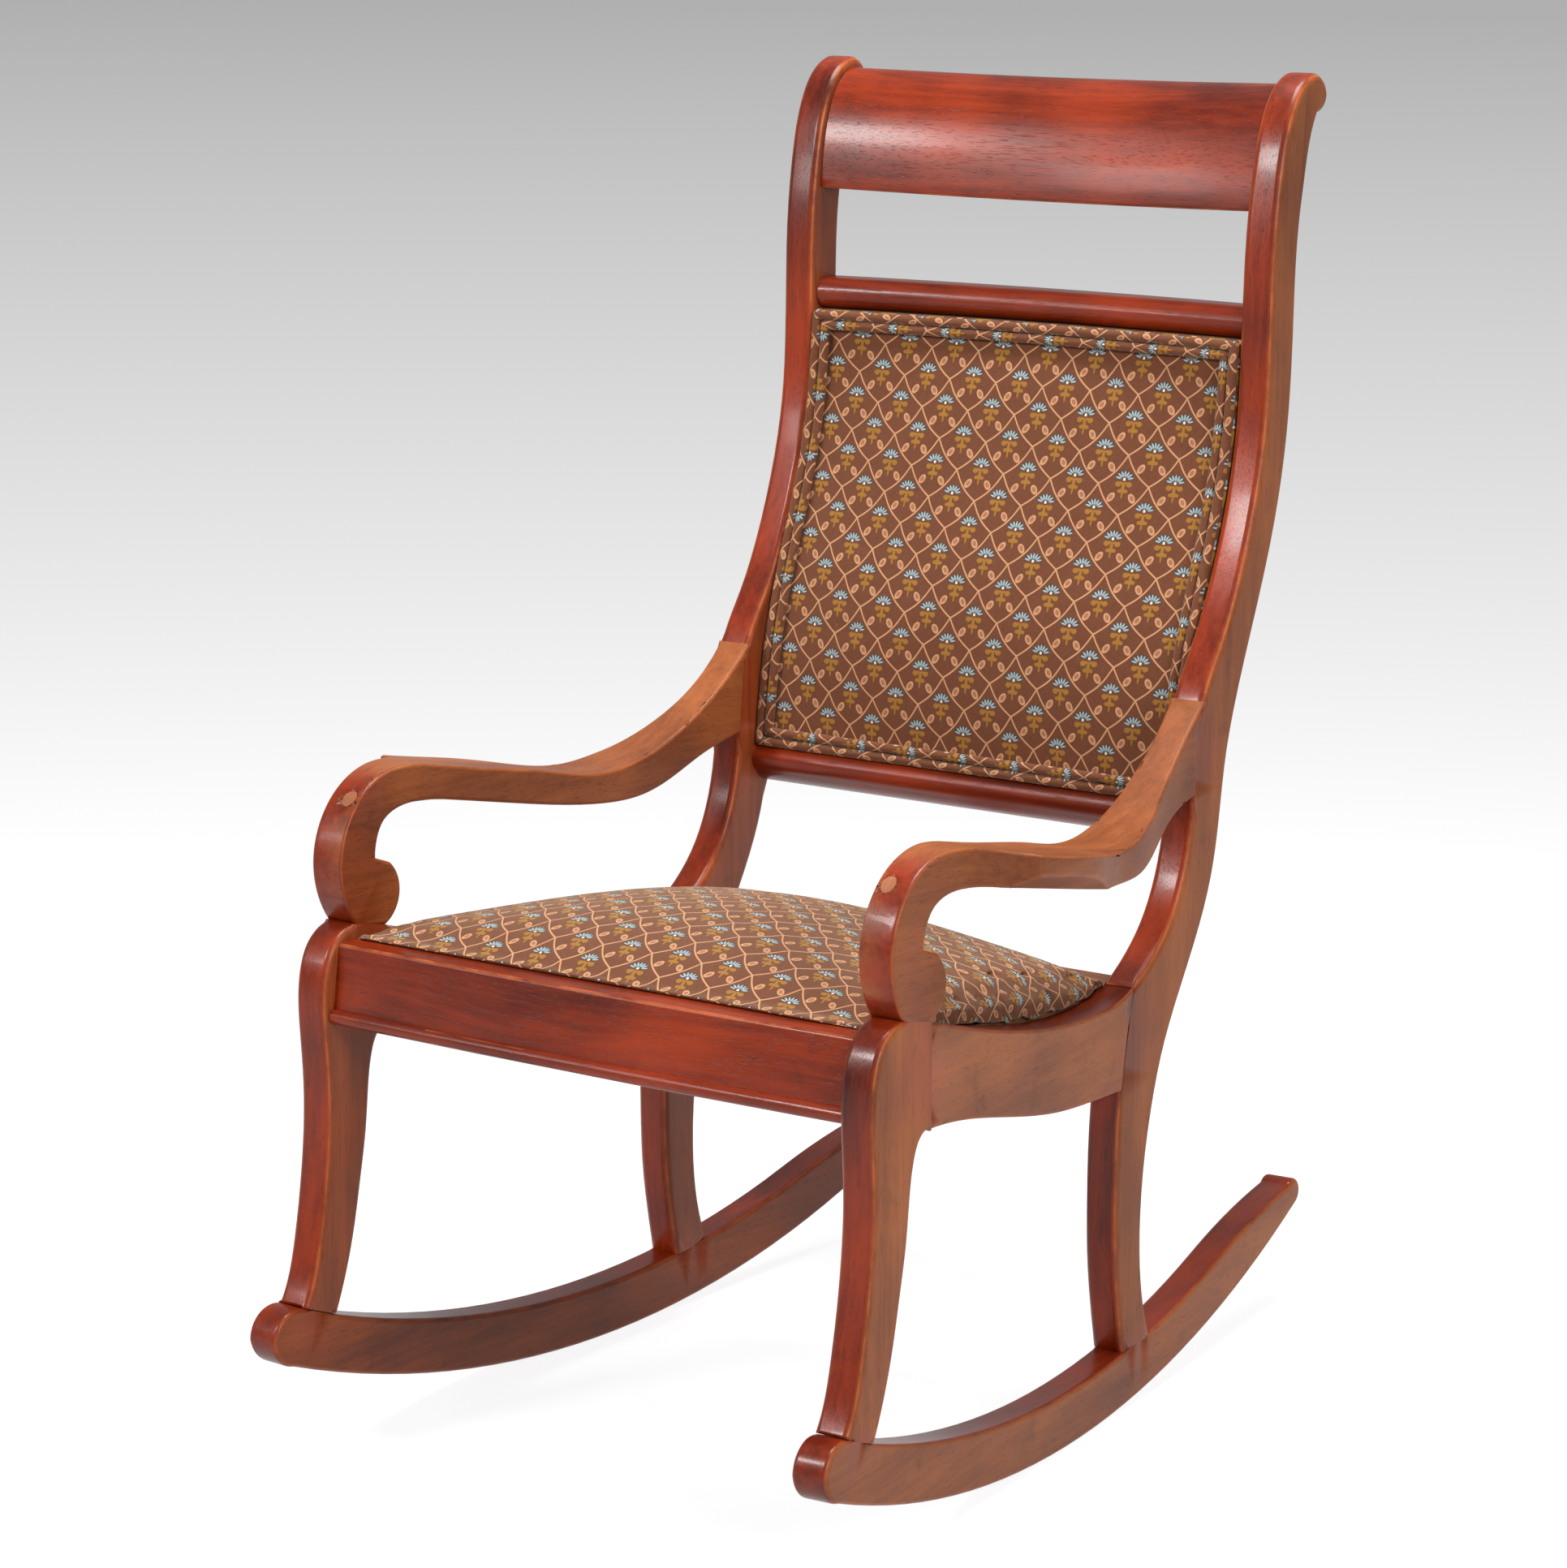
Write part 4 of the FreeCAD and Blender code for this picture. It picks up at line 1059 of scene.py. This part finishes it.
@dataclass
class SlipSeat:
    """The lift-out seat: crowned pad and lining.

    The pad's rim swells over the rails by overhang, and the swelling fades over reach, inwards. Its
    lowest part, rim_height high, hangs down to lip_gap over the rails, fully where the swelling
    times firm is 1. A rail is looked for within lip_search and a little past the rim, by past. The
    rim stays clear of the walls by clear, also while the seat is lifted. The pad is sewn down where
    its normal along Z is under sewn_tilt, and smoothed where that is over crown_tilt.
    """

    voxel: float = 0.005
    puff: Puff = field(default_factory=lambda: Puff(pressure=4.0, cap=0.006))
    smoothing: int = 3
    sewn_tilt: float = 0.25
    crown_tilt: float = 0.35
    overhang: float = 0.011
    reach: float = 0.02
    rim_height: float = 0.016
    lip_gap: float = 0.0006
    lip_search: float = 0.03
    past: float = 1.1
    firm: float = 1.6
    push_steps: int = 5
    clear: float = 0.0004
    lift: float = 0.12
    lift_steps: int = 8
    sag: float = 0.004
    rails: Tuple[str, ...] = ("front_rail", "rear_seat_rail", "side_rail_right", "side_rail_left")
    walls: Tuple[str, ...] = ("front_leg_right", "front_leg_left", "back_post_right", "back_post_left",
                              "arm_right", "arm_left")

    def build(self, bench: Bench) -> None:
        """Builds the pad and the lining.

        Args:
            bench: The nodes and finishes.
        """
        self._pad(bench)
        self._lining(bench)

    def _pad(self, bench: Bench) -> None:
        """Builds the crowned pad from its CAD solid.

        Args:
            bench: The nodes and finishes.
        """
        node = bench.nodes["seat_pad"]
        piece = mesh_of(copy_of(node), "seat_cushion")
        remesh = piece.modifiers.new("even", "REMESH")
        remesh.mode = "VOXEL"
        remesh.voxel_size = self.voxel
        self._keep(piece)
        solid = tree_of([node])
        bottom = []
        for i, vertex in enumerate(piece.data.vertices):
            spot, normal, _, _ = solid.find_nearest(vertex.co)
            vertex.co = spot - normal * self.clear
            if normal.z < self.sewn_tilt:
                bottom.append(i)
        self.puff.blow(piece, bottom, UP)
        bm = bmesh.new()
        bm.from_mesh(piece.data)
        bm.normal_update()
        top = [v for v in bm.verts if v.normal.z > self.crown_tilt]
        for _ in range(self.smoothing):
            bmesh.ops.smooth_vert(bm, verts=top, factor=0.5, use_axis_x=True, use_axis_y=True, use_axis_z=True)
        self._settle(bm, bench, solid)
        for face in bm.faces:
            face.smooth = True
        bm.to_mesh(piece.data)
        bm.free()
        finer = piece.modifiers.new("soft", "SUBSURF")
        finer.levels = 1
        finer.render_levels = 1
        self._keep(piece)
        self._lay(piece).write(piece)
        bench.hand_over(piece, SprigCloth("sprig_cloth_seat"), "seat_pad", "slip_seat")

    def _keep(self, piece: bpy.types.Object) -> None:
        """Applies a piece's modifiers to its mesh.

        Args:
            piece: The piece.
        """
        shown = piece.evaluated_get(bpy.context.evaluated_depsgraph_get())
        mesh = bpy.data.meshes.new_from_object(shown)
        piece.modifiers.clear()
        piece.data = mesh

    def _lay(self, piece: bpy.types.Object) -> SeatLay:
        """How the cover lies: its length over the crown's middle line.

        Args:
            piece: The finished cushion.

        Returns:
            The rule for its UV map.
        """
        low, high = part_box("seat_pad")
        starts = [Vector((0.0, y, high.z + STANDOFF)) for y in stations(low.y, high.y, 0.01)]
        return SeatLay([(hit.y, hit.z) for hit in met_by(tree_of([piece]), starts, -UP)])

    def _settle(self, bm: bmesh.types.BMesh, bench: Bench, solid: BVHTree) -> None:
        """Lets the rim swell over the rails, down to their tops.

        Args:
            bm: The cushion.
            bench: The nodes.
            solid: Search tree of the pad's solid.
        """
        low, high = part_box("seat_pad")
        lips = tree_of(bench.nodes[n] for n in self.rails)
        walls = tree_of(bench.nodes[n] for n in self.walls)
        for vertex in bm.verts:
            spot = vertex.co.copy()
            right = math.copysign(1.0, spot.x)
            edge = solid.ray_cast(Vector((right / 2, spot.y, spot.z)), Vector((-right, 0.0, 0.0)))[0]
            side = self._fade((high.x if edge is None else abs(edge.x)) - abs(spot.x))
            front = self._fade(spot.y - low.y)
            rear = self._fade(high.y - spot.y)
            push = Vector((side * right, rear / 2 - front, 0.0)) * self.overhang
            lip = lips.ray_cast(spot + push * self.past + UP * self.lip_search, -UP, self.lip_search * 2)[0]
            floor = solid.ray_cast(spot - UP * STANDOFF, UP)[0]
            if lip is not None and floor is not None:
                drop = max(0.0, 1.0 - (spot.z - floor.z) / self.rim_height) * (floor.z - lip.z - self.lip_gap)
                vertex.co.z -= drop * min(1.0, max(side, front, rear) * self.firm)
            start = vertex.co.copy()
            for step in range(self.push_steps, -1, -1):
                vertex.co = start + push * (step / self.push_steps)
                if self._free(walls, vertex.co):
                    break

    def _fade(self, inside: float) -> float:
        """The share of the swelling at a distance from the rim."""
        return math.exp(-max(0.0, inside) / self.reach * 2.0)

    def _free(self, walls: BVHTree, spot: Vector) -> bool:
        """Whether a place on the rim stays clear of the walls, at rest and while the seat is lifted.

        Args:
            walls: Search tree of the wood beside and over the seat.
            spot: The place at rest.

        Returns:
            True where it does.
        """
        for step in range(self.lift_steps + 1):
            raised = spot + UP * (self.lift * step / self.lift_steps)
            near, normal, _, _ = walls.find_nearest(raised, NEARBY * 3)
            if near is not None and (raised - near).dot(normal) <= self.clear:
                return False
        return True

    def _lining(self, bench: Bench) -> None:
        """Builds the lining under the seat, a little slack between its tacks.

        Args:
            bench: The nodes and finishes.
        """
        bm = copy_of(bench.nodes["dust_cover"])
        bmesh.ops.subdivide_edges(bm, edges=[e for e in bm.edges if e.calc_length() > 0.03], cuts=6,
                                  use_grid_fill=True)
        bmesh.ops.triangulate(bm, faces=bm.faces)
        low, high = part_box("dust_cover")
        for vertex in bm.verts:
            loose = slack(vertex.co, low, high, 1, 0.7)
            vertex.co.z -= self.sag * loose + 0.0005 * noise.noise(vertex.co * 22.0) * loose
        piece = mesh_of(bm, "seat_lining")
        piece.data.set_sharp_from_angle(angle=math.radians(40.0))
        bench.hand_over(piece, LiningCloth("lining_cloth"), "dust_cover", "slip_seat")


@dataclass
class PaddedBack:
    """The upholstered panel: pad, double welt and outside cover."""

    cell: float = 0.006
    puff: Puff = field(default_factory=lambda: Puff(pressure=2.0, cap=0.003))
    tacked_edge: float = 0.018
    pucker: float = 0.00035
    sag: float = 0.0022
    outside_rows: int = 30

    def build(self, bench: Bench) -> None:
        """Builds the pad, the welt and the outside cover.

        Args:
            bench: The nodes and finishes.
        """
        self._pad(bench)
        self._welt(bench)
        self._outside(bench)

    def _lay(self, node: bpy.types.Object) -> BackLay:
        """How a cover lies: its length over the front of a node, along its middle line.

        Args:
            node: The CAD node.

        Returns:
            The rule for the cover's UV map.
        """
        low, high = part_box(node.name)
        starts = [Vector((0.0, low.y - STANDOFF, z)) for z in stations(low.z, high.z, 0.005)]
        return BackLay([(hit.z, hit.y) for hit in met_by(tree_of([node]), starts, Vector((0.0, 1.0, 0.0)))])

    def _pad(self, bench: Bench) -> None:
        """Builds the pad as an even closed cover over its CAD solid.

        Args:
            bench: The nodes and finishes.
        """
        node = bench.nodes["back_pad"]
        bm = copy_of(node)
        bmesh.ops.dissolve_limit(bm, angle_limit=math.radians(0.1), verts=bm.verts, edges=bm.edges)
        bmesh.ops.triangulate(bm, faces=bm.faces)
        low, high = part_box("back_pad")
        for axis in (0, 2):
            cut_rows(bm, axis, low[axis], high[axis], round((high[axis] - low[axis]) / self.cell))
        bmesh.ops.remove_doubles(bm, verts=bm.verts, dist=0.0002)
        piece = mesh_of(bm, "back_cushion")
        tacked = [i for i, v in enumerate(piece.data.vertices)
                  if v.normal.y > -0.4 or abs(v.co.x) > high.x - self.tacked_edge
                  or v.co.z > high.z - self.tacked_edge or v.co.z < low.z + self.tacked_edge]
        self.puff.blow(piece, tacked, Vector((0.0, -1.0, 0.0)))
        piece.data.set_sharp_from_angle(angle=math.radians(50.0))
        self._lay(node).write(piece)
        bench.hand_over(piece, SprigCloth("sprig_cloth_back"), "back_pad", "chair")

    def _welt(self, bench: Bench) -> None:
        """Builds the double cord round the panel, with the small puckers of a hand-sewn strip.

        Args:
            bench: The nodes and finishes.
        """
        bm = copy_of(bench.nodes["back_welt"])
        bmesh.ops.subdivide_edges(bm, edges=[e for e in bm.edges if e.calc_length() > 0.012], cuts=2)
        bmesh.ops.triangulate(bm, faces=bm.faces)
        bm.normal_update()
        for vertex in bm.verts:
            vertex.co += vertex.normal * self.pucker * noise.noise(vertex.co * 120.0)
        piece = mesh_of(bm, "back_double_welt")
        low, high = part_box("back_welt")
        WeltLay(high.x, low.z, high.z).write(piece)
        cloth = SprigCloth("sprig_cloth_welt", start=(0.12, 0.3))
        bench.hand_over(piece, cloth, "back_welt", "chair")

    def _outside(self, bench: Bench) -> None:
        """Builds the cover on the back of the panel, a little slack between its tacks.

        Args:
            bench: The nodes and finishes.
        """
        node = bench.nodes["back_outside_cover"]
        bm = copy_of(node)
        low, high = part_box("back_outside_cover")
        for axis in (0, 2):
            cut_rows(bm, axis, low[axis], high[axis], self.outside_rows)
        for vertex in bm.verts:
            loose = slack(vertex.co, low, high, 2, 0.6)
            vertex.co.y += self.sag * loose + 0.0006 * loose * noise.noise(vertex.co * 17.0)
        piece = mesh_of(bm, "back_outside_cloth")
        piece.data.set_sharp_from_angle(angle=math.radians(40.0))
        lay = self._lay(node)
        lay.write(piece)
        cloth = SprigCloth("sprig_cloth_outside", start=(0.2, 0.1))
        bench.hand_over(piece, cloth, "back_outside_cover", "chair")


@dataclass
class HiddenWork:
    """The inner wood, webs, screws, tacks and plugs, which keep their CAD shape."""

    steel: AgedSteel = AgedSteel("aged_steel")
    web: Webbing = Webbing("jute_web")
    plug: Polish = Polish("polish_plug", Grain.DEPTH, brown_deep=linear(136, 78, 50),
                          brown_warm=linear(176, 112, 76))
    wood: Dict[Grain, Tuple[str, ...]] = field(default_factory=lambda: {
        Grain.ACROSS: ("rear_seat_rail", "seat_cleats", "front_rail_dowels", "rear_rail_dowels",
                       "back_rail_dowels", "crest_dowels", "back_panel_rails", "seat_frame_front",
                       "seat_frame_rear"),
        Grain.DEPTH: ("corner_blocks", "side_rail_dowels", "seat_frame_side_right", "seat_frame_side_left"),
        Grain.UPRIGHT: ("foot_dowels", "arm_dowels", "back_panel_stiles"),
    })
    screws: Tuple[str, ...] = ("arm_screws", "corner_block_screws", "back_panel_screws", "dust_cover_tacks",
                               "back_cover_tacks")
    webs: Tuple[str, ...] = ("seat_webbing", "seat_cross_webbing", "back_webbing")

    def dress(self, bench: Bench) -> None:
        """Gives each node its finish.

        Args:
            bench: The nodes and finishes.
        """
        for grain, names in self.wood.items():
            self._put(bench, names, PlainWood("stained_wood_" + grain.name.lower(), grain))
        self._put(bench, self.screws, self.steel)
        self._put(bench, self.webs, self.web)
        self._put(bench, ("arm_plugs",), self.plug)

    def _put(self, bench: Bench, names: Iterable[str], finish: Finish) -> None:
        """Puts one finish in every material slot of some nodes.

        Args:
            bench: The nodes and finishes.
            names: The nodes' names.
            finish: The finish.
        """
        for name in names:
            for slot in bench.nodes[name].material_slots:
                slot.material = bench.finish_of(finish)
            log.info("%s: %s", name, finish.name)


@dataclass(frozen=True)
class SoftBox:
    """A square soft box aimed at the middle of the chair."""

    name: str
    spot: Tuple[float, float, float]
    size: float
    power: float

    def hang(self, aim: Vector) -> None:
        """Hangs the lamp.

        Args:
            aim: The place that it shines at.
        """
        lamp = bpy.data.lights.new(self.name, "AREA")
        lamp.shape = "SQUARE"
        lamp.size = self.size
        lamp.energy = self.power
        box = bpy.data.objects.new(self.name, lamp)
        box.location = self.spot
        box.rotation_mode = "QUATERNION"
        box.rotation_quaternion = (aim - Vector(self.spot)).to_track_quat("-Z", "Y")
        bpy.context.scene.collection.objects.link(box)


@dataclass
class Studio:
    """Floor, backdrop light, lamps and camera.

    The floor is white at the chair and turns grey with distance: near and far are one over the
    distances, in metres from the point under the camera, between which it does.
    """

    camera_at: Tuple[float, float, float] = (1.83063, -2.785063, 1.177809)
    azimuth: float = 33.97793
    elevation: float = 14.23197
    roll: float = 0.59404
    lens: float = 99.49
    shift: Tuple[float, float] = (-0.0022, 0.1255)
    floor_half: float = 60.0
    floor_glow: float = 0.88
    floor_shadow: float = 0.26
    floor_bounce: float = 0.64
    near: float = 0.265
    far: float = 0.0234
    far_grey: Colour = linear(179, 179, 179)
    air: float = 0.14
    haze: float = 0.45
    aim: Vector = field(default_factory=lambda: Vector((0.0, 0.0, 0.5)))
    lamps: Tuple[SoftBox, ...] = (
        SoftBox("key_left", (-1.3, -2.6, 2.2), 0.5, 50.0), SoftBox("spot_left", (-2.1, -2.7, 1.6), 0.4, 12.0),
        SoftBox("fill_right", (2.7, -1.4, 1.7), 1.1, 44.0), SoftBox("top", (0.2, 0.1, 3.0), 1.2, 78.0),
    )

    def build(self) -> None:
        """Builds the whole set."""
        self._floor()
        self._world()
        for lamp in self.lamps:
            lamp.hang(self.aim)
        self._camera()

    def _seen(self, g: Graph) -> Sock:
        """Tells which rays show the set itself: straight, mirrored or through something clear.

        Args:
            g: The floor's or the world's graph.

        Returns:
            1 for these rays, 0 for others.
        """
        kinds = ("Is Camera Ray", "Is Glossy Ray", "Is Transmission Ray")
        camera, glossy, clear = (g.add("ShaderNodeLightPath", {}, {}, kind) for kind in kinds)
        return camera.most(glossy).most(clear)

    def _floor(self) -> None:
        """A pale floor that glows to the camera and still keeps the chair's shadow."""
        bm = bmesh.new()
        bmesh.ops.create_grid(bm, x_segments=8, y_segments=8, size=self.floor_half)
        floor = mesh_of(bm, "studio_floor")
        g = Graph(bpy.data.materials.new("pale_floor"))
        place = g.add("ShaderNodeTexCoord", {}, {}, "Object")
        foot = (*self.camera_at[:2], 0.0)
        away = g.add("ShaderNodeVectorMath", {"operation": "DISTANCE"}, {0: place, 1: foot}, 1)
        depth = (1.0 - (1.0 / away - self.far) / (self.near - self.far)).most(0.0).least(1.0)
        shade = g.mix(depth * depth, (1.0, 1.0, 1.0), self.far_grey)
        glow = g.add("ShaderNodeEmission", {}, {"Color": shade, "Strength": self.floor_glow})
        matt, dim = (g.add("ShaderNodeBsdfDiffuse", {}, {"Color": (value, value, value)})
                     for value in (self.floor_bounce, self.floor_shadow))
        both = g.add("ShaderNodeAddShader", {}, {0: glow, 1: dim})
        surface = g.add("ShaderNodeMixShader", {}, {0: self._seen(g), 1: matt, 2: both})
        floor.data.materials.append(g.show(surface))

    def _world(self) -> None:
        """Plain even light from all round."""
        g = Graph(bpy.data.worlds.new("studio_air"))
        strength = self._seen(g) * (self.haze - self.air) + self.air
        bpy.context.scene.world = g.finish(Color=(1.0, 1.0, 1.0), Strength=strength)

    def _camera(self) -> None:
        """The camera at the photograph's angle."""
        a, e = math.radians(self.azimuth), math.radians(self.elevation)
        back = Vector((math.sin(a) * math.cos(e), -math.cos(a) * math.cos(e), math.sin(e)))
        data = bpy.data.cameras.new("camera")
        data.lens = self.lens
        data.sensor_width = 36.0
        data.shift_x, data.shift_y = self.shift
        data.clip_end = 200.0
        camera = bpy.data.objects.new("camera", data)
        camera.location = self.camera_at
        camera.rotation_mode = "QUATERNION"
        level = (-back).to_track_quat("-Z", "Y")
        camera.rotation_quaternion = level @ Quaternion((0.0, 0.0, 1.0), math.radians(self.roll))
        bpy.context.scene.collection.objects.link(camera)
        bpy.context.scene.camera = camera


def main() -> None:
    """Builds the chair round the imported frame."""
    logging.basicConfig(level=logging.INFO, format="%(name)s: %(message)s")
    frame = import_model()
    bench = Bench(frame["nodes"])
    WoodFrame().build(bench)
    SlipSeat().build(bench)
    PaddedBack().build(bench)
    HiddenWork().dress(bench)
    Studio().build()
    bpy.context.scene.view_settings.view_transform = "Standard"


if __name__ == "__main__":
    main()
